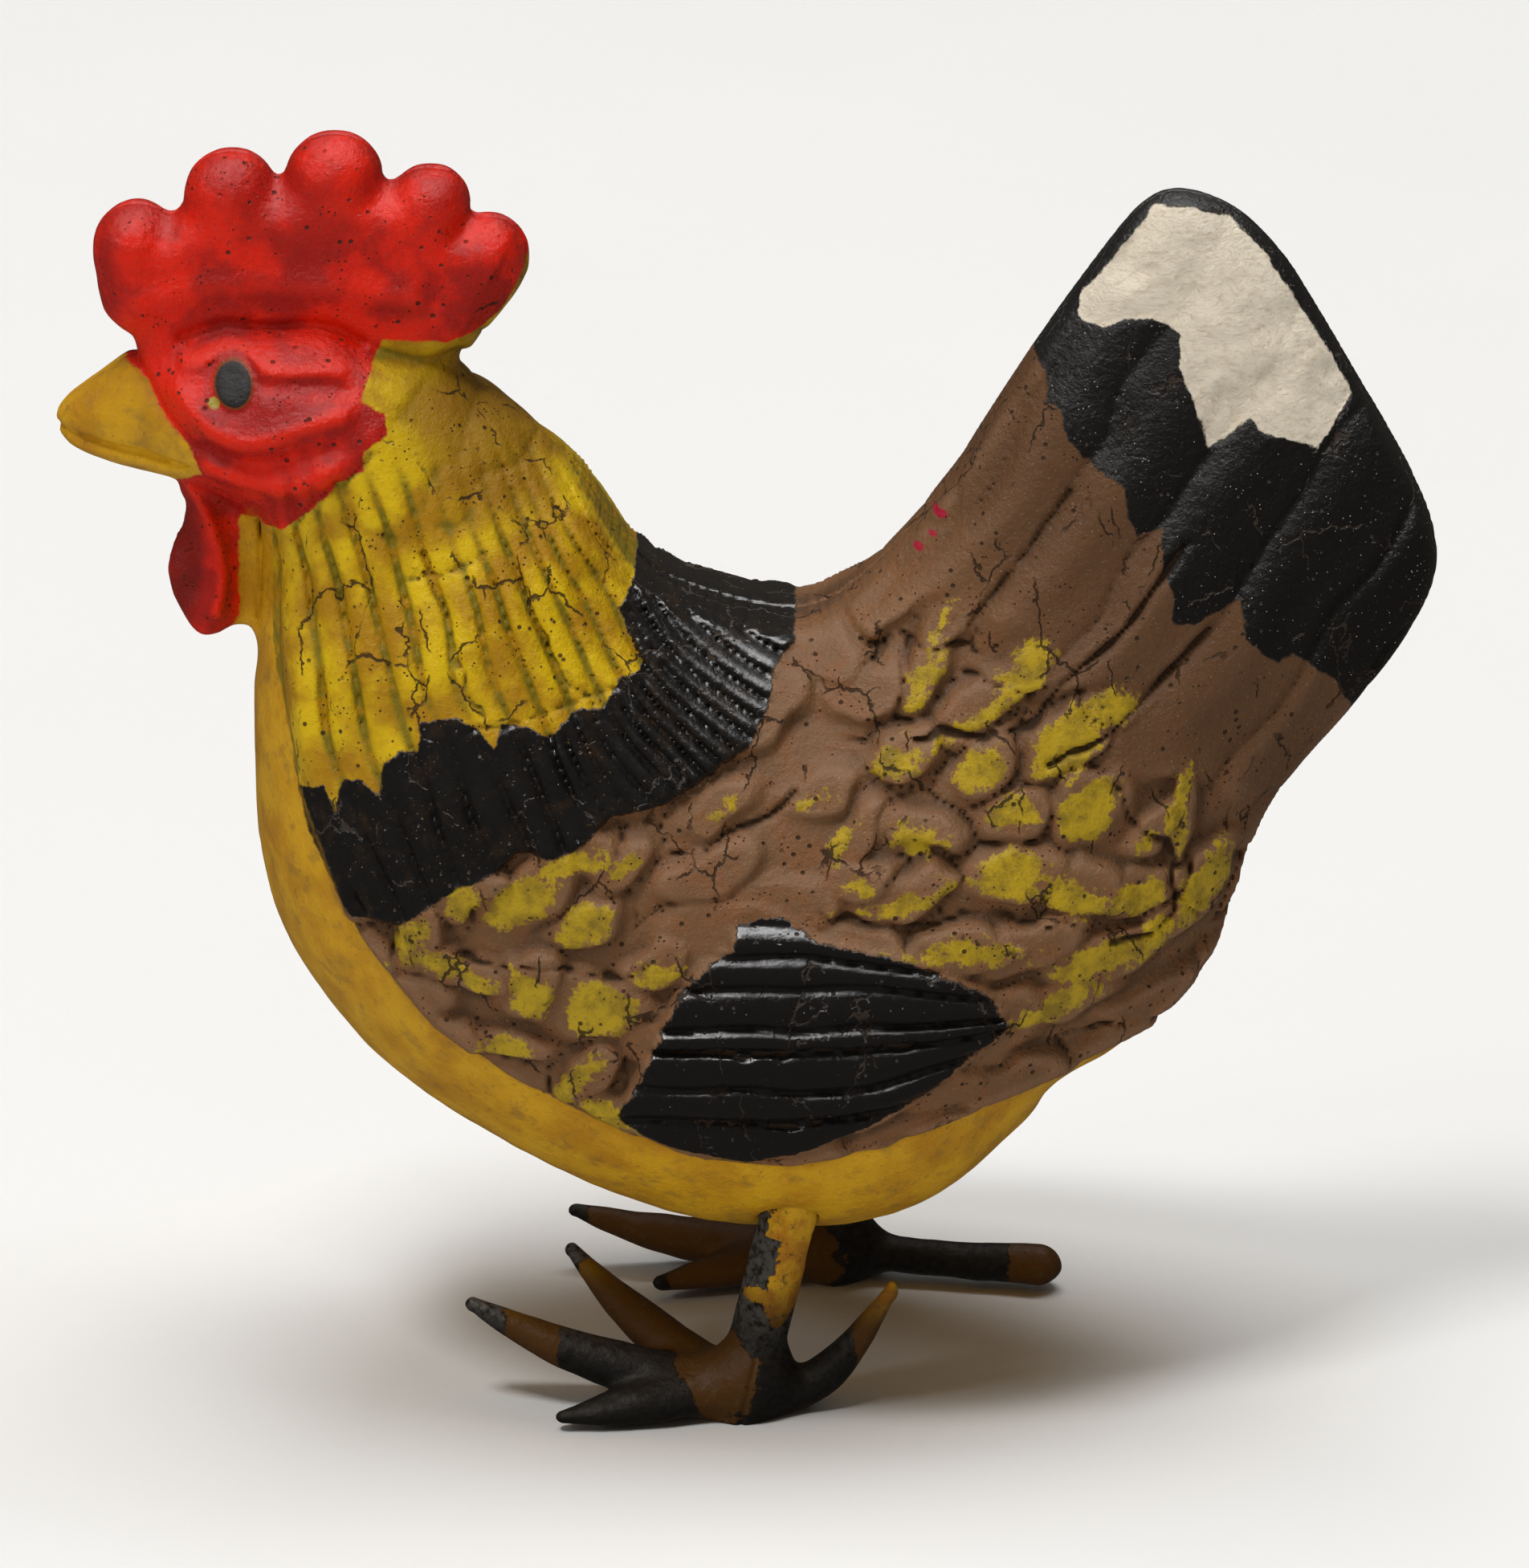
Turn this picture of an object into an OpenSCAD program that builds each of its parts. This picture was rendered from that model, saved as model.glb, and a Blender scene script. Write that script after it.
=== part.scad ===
// Standing rooster, a painted toy figure pressed in sawdust composition.
// The body is two pressed halves that meet on the plane y = 0, with a steel wire laid between
// them. Two cast soft-metal feet are held in the belly by steel leg wires.
// Frame: the beak points along -X, +Z is up, the feet stand on z = 0, millimetres.

/* [Body] */
// Length from the beak's tip to the tail's edge
body_length = 58.5; // [50:0.5:66]
// Width across the two wings
body_width = 22.8; // [20:0.2:25]

/* [Feet] */
// Diameter of a cast leg
shank_d = 2.5; // [2.2:0.1:2.8]
// Length of cast leg that is buried in the belly
tang_length = 3.5; // [2.5:0.5:5]
// Diameter of the flat pad under each foot
sole_d = 3; // [2.6:0.1:3.4]

/* [Wires] */
// Diameter of the wires inside the figure
wire_d = 1.2; // [0.8:0.1:1.4]
// Radius of the spine wire's bend
spine_bend = 18.4; // [17.5:0.1:19]
// Length of leg wire above the cast leg
leg_wire_rise = 9; // [6:0.5:11]
// Length of leg wire inside the cast leg
leg_wire_grip = 7; // [5:0.5:8]

/* [Hidden] */

// The tables below are laid out for these sizes, and scale with the driving dimensions.
LAID_LENGTH = 58.5;
LAID_WIDTH = 22.8;
k = body_length / LAID_LENGTH;
k_y = body_width / LAID_WIDTH;

gap = 0.03;              // radial room around a wire or a leg in its socket
past = 0.01;             // how far a cut runs past the face it leaves by
far = 100;               // larger than the figure, for the cut on the parting plane
below = 5;               // how far under the belly a leg socket's cut starts

LEG_FN = 48;
WIRE_FN = 32;
BEND_FN = 120;
LOBE_FN = 24;

// Ribs cross the body from its back line to its belly line, both on the parting plane. Each is
// [back x, back z, belly x, belly z, half width, how much wider it is below its middle].

// From the beak over the head and neck, then the trunk, which turns up into the tail
BODY = [
    [-29.4, 42.3, -29.3, 41.5, 0.4, 0],
    [-28.7, 43.1, -28.4, 40.7, 1.3, 0],
    [-27.4, 44.1, -26.9, 40.1, 2.0, 0],
    [-25.6, 45.3, -25.3, 39.7, 2.7, 0],
    [-22.5, 46.6, -24.0, 39.5, 4.1, 0],
    [-18.5, 47.0, -22.7, 39.2, 5.2, 0],
    [-14.5, 45.8, -21.4, 38.4, 5.5, 0],
    [-11.0, 43.8, -20.4, 36.5, 5.8, 0],
    [-8.6, 41.8, -20.9, 32.3, 6.5, 0],
    [-7.0, 39.9, -21.2, 26.7, 7.7, 0.05],
    [-6.0, 38.2, -20.2, 20.1, 9.1, 0.10],
    [-5.2, 36.9, -16.2, 14.2, 10.3, 0.15],
    [-4.0, 35.6, -9.9, 9.9, 11.1, 0.20],
    [-1.5, 34.6, -3.4, 7.1, 11.4, 0.20],
    [1.0, 34.0, 3.0, 6.3, 11.4, 0.20],
    [2.7, 34.0, 8.4, 7.8, 11.1, 0.22],
    [3.9, 34.6, 12.3, 11.3, 10.4, 0.25],
    [4.9, 35.5, 15.6, 14.1, 9.3, 0.28],
    [6.0, 36.6, 19.0, 17.4, 8.0, 0.30],
    [7.3, 38.2, 20.9, 21.1, 6.7, 0.25],
    [8.9, 40.5, 21.8, 24.4, 5.6, 0.20],
    [10.6, 43.4, 23.4, 26.8, 4.7, 0.15],
    [12.7, 46.8, 25.3, 29.1, 4.0, 0.10],
    [15.0, 50.2, 27.4, 31.8, 3.4, 0.10],
    [16.8, 52.4, 28.9, 34.3, 2.8, 0.05],
    [18.5, 52.5, 29.4, 36.3, 2.1, 0],
    [20.9, 51.4, 28.9, 38.4, 1.2, 0],
    [22.8, 49.2, 27.9, 40.6, 0.4, 0]
];

// The hanging wattle, from the throat down. Its ribs run from rear to front.
WATTLE = [
    [-21.8, 40.0, -24.4, 39.9, 0.9, 0],
    [-22.1, 38.3, -24.2, 38.0, 1.1, 0],
    [-21.6, 35.6, -24.8, 35.4, 1.5, 0],
    [-21.6, 33.6, -24.2, 33.5, 1.4, 0],
    [-22.4, 32.4, -23.4, 32.3, 0.6, 0]
];

// Outline of the thin web that joins the wattle to the throat
WATTLE_WEB = [[-22.9, 33.0], [-20.0, 32.5], [-18.5, 39.3], [-22.7, 39.1]];
WATTLE_WEB_T = 1.0;

// The comb's five rounded lobes: [tip x, tip z, root x, root z, radius]
COMB_LOBES = [
    [-25.8, 49.7, -25.5, 47.6, 1.9],
    [-21.7, 51.8, -21.3, 46.0, 2.1],
    [-17.4, 52.5, -17.8, 46.2, 2.2],
    [-13.4, 51.5, -14.7, 46.4, 1.8],
    [-11.1, 49.2, -13.1, 46.6, 2.0]
];
COMB_HALF_T = 2.2;

// The solid comb that the lobes stand out of, as the centres of its rounded corners
COMB_BASE = [[-24.9, 49.0], [-21.2, 51.0], [-15.0, 51.0], [-12.0, 49.2], [-13.8, 45.7], [-24.3, 45.5]];
COMB_BASE_R = 1.6;
COMB_BASE_HALF_T = 2.1;

BODY_STEPS = 3;
BODY_RING = 28;
WATTLE_STEPS = 2;
WATTLE_RING = 12;

// Each leg: [foot of its axis inside the hub, point where it enters the belly]
LEFT_LEG = [[0.2, -7.4, 1.0], [2.0, -6.6, 8.9]];
RIGHT_LEG = [[4.0, 7.6, 1.0], [4.3, 6.6, 8.9]];

// Each toe: [tip, how far its middle sags below a straight line, radius at the hub, at the tip]
LEFT_TOES = [
    [[-7.6, -9.8, 0.5], 0.0, 1.2, 0.45],
    [[-11.4, -6.6, 4.5], 0.9, 1.3, 0.40],
    [[-7.4, -1.4, 4.9], 0.9, 1.2, 0.40],
    [[6.4, -6.4, 5.2], 1.9, 1.2, 0.35]
];
RIGHT_TOES = [
    [[-7.6, 8.2, 2.6], 0.6, 1.3, 0.45],
    [[-3.6, 4.4, 0.5], 0.0, 1.2, 0.45],
    [[-3.4, 10.9, 0.5], 0.0, 1.2, 0.45],
    [[13.2, 6.2, 1.0], 0.1, 1.1, 0.85]
];
TOE_ROOT_Z = 1.35;       // height of a toe's axis where it leaves the hub
HUB_R = 1.75;
HUB_Z = 1.95;            // height of the hub's centre
TOE_STEPS = 6;
TOE_RING = 12;

SPINE_CENTRE = [1, 38.4];  // x and z of the spine bend's centre
SPINE_START = 172;         // degrees round the bend, measured from +X towards +Z
SPINE_SWEEP = 196;
SPINE_ENDS = 5;            // straight length at each end of the spine wire

PAINT_YELLOW = [0.80, 0.58, 0.09];
PAINT_BROWN = [0.36, 0.24, 0.17];
PEWTER = [0.30, 0.29, 0.28];
STEEL = [0.55, 0.54, 0.52];

// --- Curves and lofts ---------------------------------------------------------------------

function held(i, list) = list[max(0, min(len(list) - 1, i))];

// Point at t along a Catmull-Rom curve through a list of vectors, t counted in list places
function spline(list, t) =
    let (i = floor(t), f = t - i,
         a = held(i - 1, list), b = held(i, list), c = held(i + 1, list), d = held(i + 2, list))
    0.5 * (2 * b + (c - a) * f + (2 * a - 5 * b + 4 * c - d) * f * f
           + (3 * b - a - 3 * c + d) * f * f * f);

// Points round one rib. No point lies on the parting plane, so that the cut there stays clean.
function rib_ring(rib, n) =
    let (mid = [rib[0] + rib[2], rib[1] + rib[3]] / 2,
         half = [rib[0] - rib[2], rib[1] - rib[3]] / 2)
    [for (j = [0 : n - 1])
        let (angle = 360 * (j + 0.5) / n, up = sin(angle),
             out = rib[4] * cos(angle) * (1 - rib[5] * up))
        [k * (mid.x + half.x * up), k_y * out, k * (mid.y + half.y * up)]];

// Two triangles for each cell between rings, and a fan over each open end
function ring_faces(rings, n) = concat(
    [for (i = [0 : rings - 2], j = [0 : n - 1])
        let (a = i * n + j, b = i * n + (j + 1) % n) each [[a, b + n, b], [a, a + n, b + n]]],
    [for (j = [1 : n - 2]) [0, j, j + 1]],
    [for (j = [1 : n - 2]) let (last = (rings - 1) * n) [last, last + j + 1, last + j]]);

module loft(ribs, steps, n) {
    stations = (len(ribs) - 1) * steps;
    points = [for (i = [0 : stations]) each rib_ring(spline(ribs, i / steps), n)];
    polyhedron(points, ring_faces(stations + 1, n));
}

// Turns a child that stands along +Z so that it runs from a towards b
module along(a, b) {
    d = b - a;
    translate(a) rotate([0, acos(d.z / norm(d)), atan2(d.y, d.x)]) children();
}

function laid(p) = [k * p.x, k_y * p.y, k * p.z];

// A point on a leg's axis, s millimetres above where it enters the belly
function on_leg(leg, s) =
    let (low = laid(leg[0]), entry = laid(leg[1])) entry + s * (entry - low) / norm(entry - low);

// --- Body ---------------------------------------------------------------------------------

// The lobes share one thickness, so each sphere is squashed across the comb
module comb() {
    for (lobe = COMB_LOBES)
        hull() {
            lobe_end(lobe[0], lobe[1], lobe[4], COMB_HALF_T);
            lobe_end(lobe[2], lobe[3], lobe[4], COMB_HALF_T);
        }
    hull()
        for (corner = COMB_BASE) lobe_end(corner[0], corner[1], COMB_BASE_R, COMB_BASE_HALF_T);
}

module lobe_end(x, z, r, half_t) {
    translate([k * x, 0, k * z])
        scale([k, k_y * half_t / r, k])
            rotate([90, 180 / LOBE_FN, 0]) sphere(r, $fn = LOBE_FN);
}

// The whole pressed form, both halves in one
module pressed_form() {
    loft(BODY, BODY_STEPS, BODY_RING);
    loft(WATTLE, WATTLE_STEPS, WATTLE_RING);
    comb();
    rotate([90, 0, 0])
        linear_extrude(WATTLE_WEB_T, center = true)
            polygon(k * WATTLE_WEB);
}

// One pressed half, side -1 for the bird's left and +1 for its right
module body_half(side, leg) {
    difference() {
        resize([body_length, body_width / 2, 0])
            intersection() {
                pressed_form();
                translate([-far / 2, side > 0 ? 0 : -far / 2, 0]) cube([far, far / 2, far]);
            }
        spine_path(wire_d + 2 * gap);
        leg_socket(leg);
    }
}

// Where the cast leg and its wire sit in the belly
module leg_socket(leg) {
    mouth = on_leg(leg, -below);
    seat = on_leg(leg, tang_length + gap);
    end = on_leg(leg, tang_length + leg_wire_rise + gap);
    along(mouth, seat) cylinder(d = shank_d + 2 * gap, h = norm(seat - mouth), $fn = LEG_FN);
    along(mouth, end) cylinder(d = wire_d + 2 * gap, h = norm(end - mouth), $fn = WIRE_FN);
}

module left_body_half() { color(PAINT_YELLOW) body_half(-1, LEFT_LEG); }
module right_body_half() { color(PAINT_BROWN) body_half(1, RIGHT_LEG); }

// --- Wires --------------------------------------------------------------------------------

// A hoop of wire through the body, with a straight end up the neck and one up the tail
module spine_path(d) {
    translate([k * SPINE_CENTRE.x, 0, k * SPINE_CENTRE.y]) rotate([90, 0, 0]) {
        rotate([0, 0, SPINE_START])
            rotate_extrude(angle = SPINE_SWEEP, $fn = BEND_FN)
                translate([spine_bend, 0]) circle(d = d, $fn = WIRE_FN);
        for (end = [[SPINE_START, 90], [SPINE_START + SPINE_SWEEP, -90]])
            rotate([0, 0, end[0]])
                translate([spine_bend, 0, 0])
                    rotate([end[1], 0, 0]) cylinder(d = d, h = SPINE_ENDS, $fn = WIRE_FN);
    }
}

module spine_wire() { color(STEEL) spine_path(wire_d); }

module leg_wire(leg) {
    low = on_leg(leg, tang_length - leg_wire_grip);
    high = on_leg(leg, tang_length + leg_wire_rise);
    color(STEEL) along(low, high) cylinder(d = wire_d, h = norm(high - low), $fn = WIRE_FN);
}

module left_leg_wire() { leg_wire(LEFT_LEG); }
module right_leg_wire() { leg_wire(RIGHT_LEG); }

// --- Feet ---------------------------------------------------------------------------------

// A tapered toe on a curved centre line, from inside the hub to its tip
module toe(root, toe_spec) {
    tip = laid(toe_spec[0]);
    sag = [0, 0, -4 * toe_spec[1]];
    dir = atan2(tip.y - root.y, tip.x - root.x);
    rings = [for (i = [0 : TOE_STEPS])
        let (t = i / TOE_STEPS,
             centre = root + (tip - root) * t + sag * t * (1 - t),
             r = toe_spec[2] + (toe_spec[3] - toe_spec[2]) * t * t)
        [for (j = [0 : TOE_RING - 1])
            let (angle = 360 * j / TOE_RING)
            centre + r * [-sin(dir) * cos(angle), cos(dir) * cos(angle), sin(angle)]]];
    polyhedron([for (ring = rings) each ring], ring_faces(TOE_STEPS + 1, TOE_RING));
}

module foot(leg, toes) {
    hub = laid(leg[0]);
    top = on_leg(leg, tang_length);
    wire_low = on_leg(leg, tang_length - leg_wire_grip - gap);
    wire_high = on_leg(leg, tang_length + past);
    color(PEWTER) difference() {
        union() {
            along(hub, top) cylinder(d = shank_d, h = norm(top - hub), $fn = LEG_FN);
            translate([hub.x, hub.y, HUB_Z]) sphere(HUB_R, $fn = LEG_FN);
            translate([hub.x, hub.y, 0]) cylinder(d = sole_d, h = hub.z, $fn = LEG_FN);
            for (spec = toes) toe([hub.x, hub.y, TOE_ROOT_Z], spec);
        }
        along(wire_low, wire_high)
            cylinder(d = wire_d + 2 * gap, h = norm(wire_high - wire_low), $fn = WIRE_FN);
    }
}

module left_foot() { foot(LEFT_LEG, LEFT_TOES); }
module right_foot() { foot(RIGHT_LEG, RIGHT_TOES); }

// --- Nodes --------------------------------------------------------------------------------

left_body_half();
right_body_half();
spine_wire();
left_leg_wire();
right_leg_wire();
left_foot();
right_foot();
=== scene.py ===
import math

import bmesh
import bpy
import numpy as np
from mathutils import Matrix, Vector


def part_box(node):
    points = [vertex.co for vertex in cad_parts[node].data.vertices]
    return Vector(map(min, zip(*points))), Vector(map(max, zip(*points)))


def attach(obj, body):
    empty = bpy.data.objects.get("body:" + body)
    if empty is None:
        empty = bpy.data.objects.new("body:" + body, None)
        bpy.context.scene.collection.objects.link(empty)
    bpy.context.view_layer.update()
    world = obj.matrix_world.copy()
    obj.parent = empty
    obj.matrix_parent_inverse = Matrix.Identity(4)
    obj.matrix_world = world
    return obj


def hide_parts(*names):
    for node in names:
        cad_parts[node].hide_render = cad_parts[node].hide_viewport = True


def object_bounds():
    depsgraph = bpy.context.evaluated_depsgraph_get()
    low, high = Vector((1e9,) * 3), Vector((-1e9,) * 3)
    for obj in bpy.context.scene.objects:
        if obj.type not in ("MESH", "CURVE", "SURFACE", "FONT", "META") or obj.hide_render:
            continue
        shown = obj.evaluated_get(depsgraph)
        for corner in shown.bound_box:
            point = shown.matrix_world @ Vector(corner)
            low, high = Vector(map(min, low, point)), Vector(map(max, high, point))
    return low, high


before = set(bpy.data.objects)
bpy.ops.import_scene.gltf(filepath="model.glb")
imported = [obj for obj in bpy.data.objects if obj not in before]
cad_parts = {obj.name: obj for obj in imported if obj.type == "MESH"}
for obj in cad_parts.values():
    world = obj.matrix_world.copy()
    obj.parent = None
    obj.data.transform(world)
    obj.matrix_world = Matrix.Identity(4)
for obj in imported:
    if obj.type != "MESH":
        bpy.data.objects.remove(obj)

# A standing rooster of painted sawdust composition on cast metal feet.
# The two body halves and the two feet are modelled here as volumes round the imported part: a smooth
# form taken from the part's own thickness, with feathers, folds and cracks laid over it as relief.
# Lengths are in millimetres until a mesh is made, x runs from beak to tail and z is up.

import openvdb
from mathutils import Matrix, Vector
from mathutils.bvhtree import BVHTree

CAD_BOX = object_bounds()
MM = 0.001

# --- Resolution of the two volumes --------------------------------------------------------------

BODY_VOXEL = 0.16
FOOT_VOXEL = 0.10
BODY_FLOOR = 4.0         # the body's volume starts this far over the floor
MARGIN = 3.0             # empty room round the part in its volume
SOFT_TRUNK = 0.7         # how far the part's facets are smoothed out over the trunk
SOFT_HEAD = 0.28         # and over the comb, the beak and the wattle, which are smaller
# The head is what lies within reach of this line
HEAD_LINE = [(-25.0, 35.0), (-22.0, 44.0), (-14.0, 50.0)]
HEAD_REACH = 9.5

# --- Feather grooves ----------------------------------------------------------------------------
# Each fan is a list of (number of ridges up to this groove, points along the groove).

HACKLE_FAN = [
    (0, [(-15.9, 23.2), (-18.0, 26.9), (-19.5, 31.0), (-19.8, 38.0)]),
    (3, [(-11.7, 24.8), (-13.7, 30.0), (-15.0, 34.0), (-16.4, 39.0)]),
    (6, [(-7.6, 26.6), (-9.6, 31.0), (-11.2, 35.5), (-13.2, 42.0)]),
    (9, [(-2.7, 28.3), (-5.8, 32.0), (-7.8, 36.0), (-11.2, 43.5)]),
    (12, [(1.0, 30.8), (-3.2, 33.8), (-5.6, 37.0), (-9.6, 43.5)]),
    (14, [(2.5, 33.6), (-1.0, 35.2), (-3.8, 37.2), (-8.6, 44.0)]),
]
TAIL_FAN = [
    (0, [(4.4, 34.4), (9.1, 38.8), (12.0, 44.2), (15.6, 50.4)]),
    (1, [(9.4, 34.8), (13.1, 39.8), (15.9, 44.9), (18.9, 49.7)]),
    (2, [(11.6, 31.8), (16.5, 38.0), (18.5, 40.9), (22.3, 47.2)]),
    (3, [(15.0, 29.8), (19.3, 34.3), (21.4, 37.9), (25.4, 43.0)]),
    (4, [(18.7, 27.3), (21.6, 30.2), (24.1, 33.6), (28.0, 39.2)]),
    (5, [(21.1, 25.6), (22.9, 28.0), (25.9, 31.0), (28.7, 35.4)]),
]
WING_FAN = [
    (0, [(-3.0, 23.6), (3.0, 23.4), (10.5, 22.4)]),
    (1, [(-3.0, 22.3), (3.0, 22.3), (10.5, 21.2)]),
    (2, [(-3.0, 20.9), (5.9, 21.0), (11.0, 19.9)]),
    (3, [(-3.6, 19.2), (6.0, 19.3), (11.8, 19.3)]),
    (4, [(-4.0, 18.3), (6.0, 18.4), (12.0, 19.0)]),
    (5, [(-4.6, 16.6), (2.6, 16.4), (6.6, 16.9), (11.0, 18.3)]),
    (6, [(-5.4, 15.0), (0.9, 14.9), (6.0, 15.5), (10.5, 17.4)]),
    (7, [(-5.4, 13.3), (0.0, 12.9), (5.5, 13.6), (10.5, 16.4)]),
]

# --- Outlines on the side of the bird -----------------------------------------------------------

# The plumage stands proud of the smooth breast and belly along this line
PLUMAGE = [
    (-19.6, 38.6), (-19.5, 33.4), (-18.6, 27.6), (-16.7, 22.8), (-13.0, 18.3), (-9.3, 16.1),
    (-5.6, 14.3), (-1.5, 12.9), (2.0, 12.6), (6.0, 13.5), (9.7, 14.8), (13.0, 15.7), (17.6, 17.0),
    (20.0, 19.6), (21.4, 22.8), (24.0, 26.0), (34.0, 32.0), (34.0, 58.0), (-6.0, 58.0), (-12.0, 46.2),
]
RED_FACE = [
    (-9.2, 49.5), (-10.1, 47.5), (-11.3, 46.4), (-12.6, 46.1), (-15.3, 46.2), (-15.7, 45.3),
    (-16.1, 44.2), (-15.1, 43.7), (-15.0, 42.9), (-15.9, 42.3), (-16.0, 41.5), (-17.0, 40.9),
    (-18.3, 39.5), (-19.4, 38.5), (-21.5, 37.9), (-21.5, 33.6), (-22.3, 32.0), (-23.6, 31.0),
    (-26.5, 34.0), (-25.5, 39.0), (-24.2, 39.6), (-22.8, 40.7), (-23.3, 42.0), (-24.4, 43.1),
    (-25.1, 44.3), (-26.6, 45.0), (-29.0, 48.0), (-26.0, 56.0), (-10.0, 56.0), (-6.0, 52.0),
]
HACKLE = [
    (-20.0, 40.0), (-19.9, 33.0), (-18.7, 28.0), (-17.6, 28.5), (-17.1, 27.4), (-16.8, 28.9),
    (-16.0, 29.0), (-15.2, 28.4), (-15.1, 29.8), (-14.3, 30.4), (-13.6, 30.4), (-13.5, 31.6),
    (-12.0, 31.9), (-11.2, 31.5), (-10.4, 30.7), (-10.1, 31.6), (-9.0, 31.5), (-8.1, 31.0),
    (-7.6, 31.7), (-6.7, 32.1), (-5.9, 31.9), (-5.3, 32.9), (-4.2, 33.3), (-4.9, 34.3), (-5.3, 35.4),
    (-4.6, 36.4), (-2.0, 42.0), (-8.0, 50.0), (-20.0, 50.0),
]
COLLAR = [
    (-18.9, 28.6), (-18.3, 26.0), (-16.6, 23.0), (-14.6, 22.9), (-13.2, 23.9), (-12.0, 24.9),
    (-10.2, 25.7), (-9.4, 26.5), (-7.9, 26.3), (-6.9, 26.7), (-5.5, 27.8), (-3.3, 28.2),
    (-1.6, 29.1), (0.1, 30.2), (1.0, 31.6), (1.2, 32.8), (2.0, 33.6), (2.6, 38.0), (-6.0, 42.0),
    (-20.0, 40.0),
]
WING_PATCH = [
    (-0.2, 23.6), (1.5, 23.9), (2.8, 23.1), (4.5, 22.7), (6.9, 22.2), (8.9, 21.2), (10.2, 20.5),
    (11.2, 19.0), (9.3, 17.6), (7.3, 16.0), (5.3, 14.9), (2.6, 13.7), (0.2, 13.1), (-3.2, 13.9),
    (-5.3, 15.0), (-4.3, 16.9), (-3.3, 19.2), (-2.6, 20.8), (-1.5, 22.0), (-0.4, 22.6),
]
TAIL_BLACK = [
    (11.2, 46.4), (12.4, 45.0), (12.5, 43.9), (13.1, 43.6), (13.3, 42.6), (14.0, 41.8), (14.8, 41.3),
    (15.7, 40.7), (15.9, 39.4), (16.3, 38.6), (17.3, 38.9), (17.4, 37.1), (17.9, 36.4), (17.8, 34.9),
    (18.8, 34.9), (20.7, 35.9), (20.9, 34.2), (22.3, 32.9), (23.0, 33.3), (24.1, 32.4), (24.9, 31.8),
    (25.6, 30.2), (34.0, 33.0), (34.0, 58.0), (11.0, 58.0),
]
CHIP = [
    (16.9, 52.0), (15.6, 50.3), (13.8, 48.1), (13.7, 47.3), (14.8, 47.1), (15.6, 47.5), (16.8, 47.6),
    (18.0, 47.0), (17.9, 45.7), (18.7, 43.9), (19.2, 42.3), (20.0, 42.7), (20.9, 43.6), (21.5, 42.9),
    (22.4, 42.7), (23.8, 42.1), (24.5, 43.2), (25.2, 44.1), (24.4, 45.7), (22.8, 48.1), (21.5, 50.1),
    (20.0, 51.5), (18.3, 52.0),
]
# The small feathers end along this line, and the tail begins
SMALL_FEATHER_EDGE = [(-2.0, 35.5), (4.0, 35.0), (8.5, 35.0), (12.5, 33.4), (16.5, 31.2),
                      (19.5, 28.0), (22.0, 24.0)]

# Ovals: x, z, half length, half width and, where it has one, turn in degrees
EYE = (-21.4, 44.8, 0.76, 0.86)
EYE_SPOT = (-22.2, 44.0, 0.26, 0.22)
# Painted shadow of the comb on the nape: the hackle is painted darker inside this oval
COMB_SHADOW_PLACE = (-11.4, 42.6, 3.6, 2.0, -50.0)
# The wattle's dish is painted dark wine: painted shade in its crease
WATTLE_DISH = (-23.7, 36.0, 2.6, 0.85, 84.0)
RED_SPECKS = [(8.1, 38.7, 0.30, 0.18), (7.8, 37.9, 0.16, 0.12), (7.2, 37.3, 0.22, 0.16)]
DAB_JITTER = 0.9         # how far the far side's dabs lie from the near side's

# Brush dabs on the brown plumage: x, z, half length, half width and turn in degrees
DABS = [
    (-14.0, 22.4, 0.8, 0.6, 60), (-11.6, 24.3, 1.1, 0.6, 30), (-9.2, 24.6, 1.7, 0.9, 40),
    (-7.1, 26.1, 1.2, 0.6, 20), (-5.2, 26.0, 0.7, 0.4, 40), (-6.7, 23.5, 1.1, 0.8, 30),
    (-12.2, 21.2, 1.8, 0.5, -8), (-9.0, 20.8, 0.9, 1.0, 20), (-6.0, 20.0, 1.6, 1.2, 10),
    (-3.5, 21.8, 0.9, 0.5, 20), (-7.0, 16.6, 1.4, 0.5, 50), (-9.8, 18.0, 0.7, 0.5, 0),
    (-5.6, 14.9, 1.4, 0.5, -10), (7.5, 32.6, 1.2, 0.3, 55), (9.6, 31.3, 1.7, 0.35, 28),
    (6.3, 29.8, 0.9, 0.5, 15), (9.8, 29.5, 1.0, 0.7, 30), (13.6, 30.3, 1.6, 0.9, 38),
    (15.3, 31.6, 1.1, 0.6, 20), (11.7, 33.1, 1.5, 0.6, 35), (8.3, 34.4, 0.8, 0.25, 60),
    (7.2, 26.9, 1.1, 0.6, -10), (4.3, 26.7, 0.9, 0.35, 50), (11.1, 27.7, 1.2, 0.7, 10),
    (14.4, 27.6, 1.5, 1.1, 60), (16.8, 26.3, 0.6, 0.3, 40), (18.3, 27.1, 1.9, 0.4, 78),
    (6.6, 24.4, 1.9, 0.35, 12), (11.0, 25.2, 1.5, 1.0, 10), (13.8, 24.2, 1.6, 0.6, -20),
    (16.5, 23.8, 1.2, 0.7, 10), (19.3, 23.6, 1.7, 0.7, 60), (2.8, 28.3, 0.6, 0.2, 20),
    (9.3, 22.1, 2.4, 0.5, -4), (17.4, 22.0, 1.0, 0.6, 10), (15.0, 21.2, 2.1, 0.8, 6),
    (13.2, 19.5, 1.9, 0.6, 14), (4.6, 25.2, 0.4, 0.5, 0), (-1.0, 27.9, 0.5, 0.2, 20),
]

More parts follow.
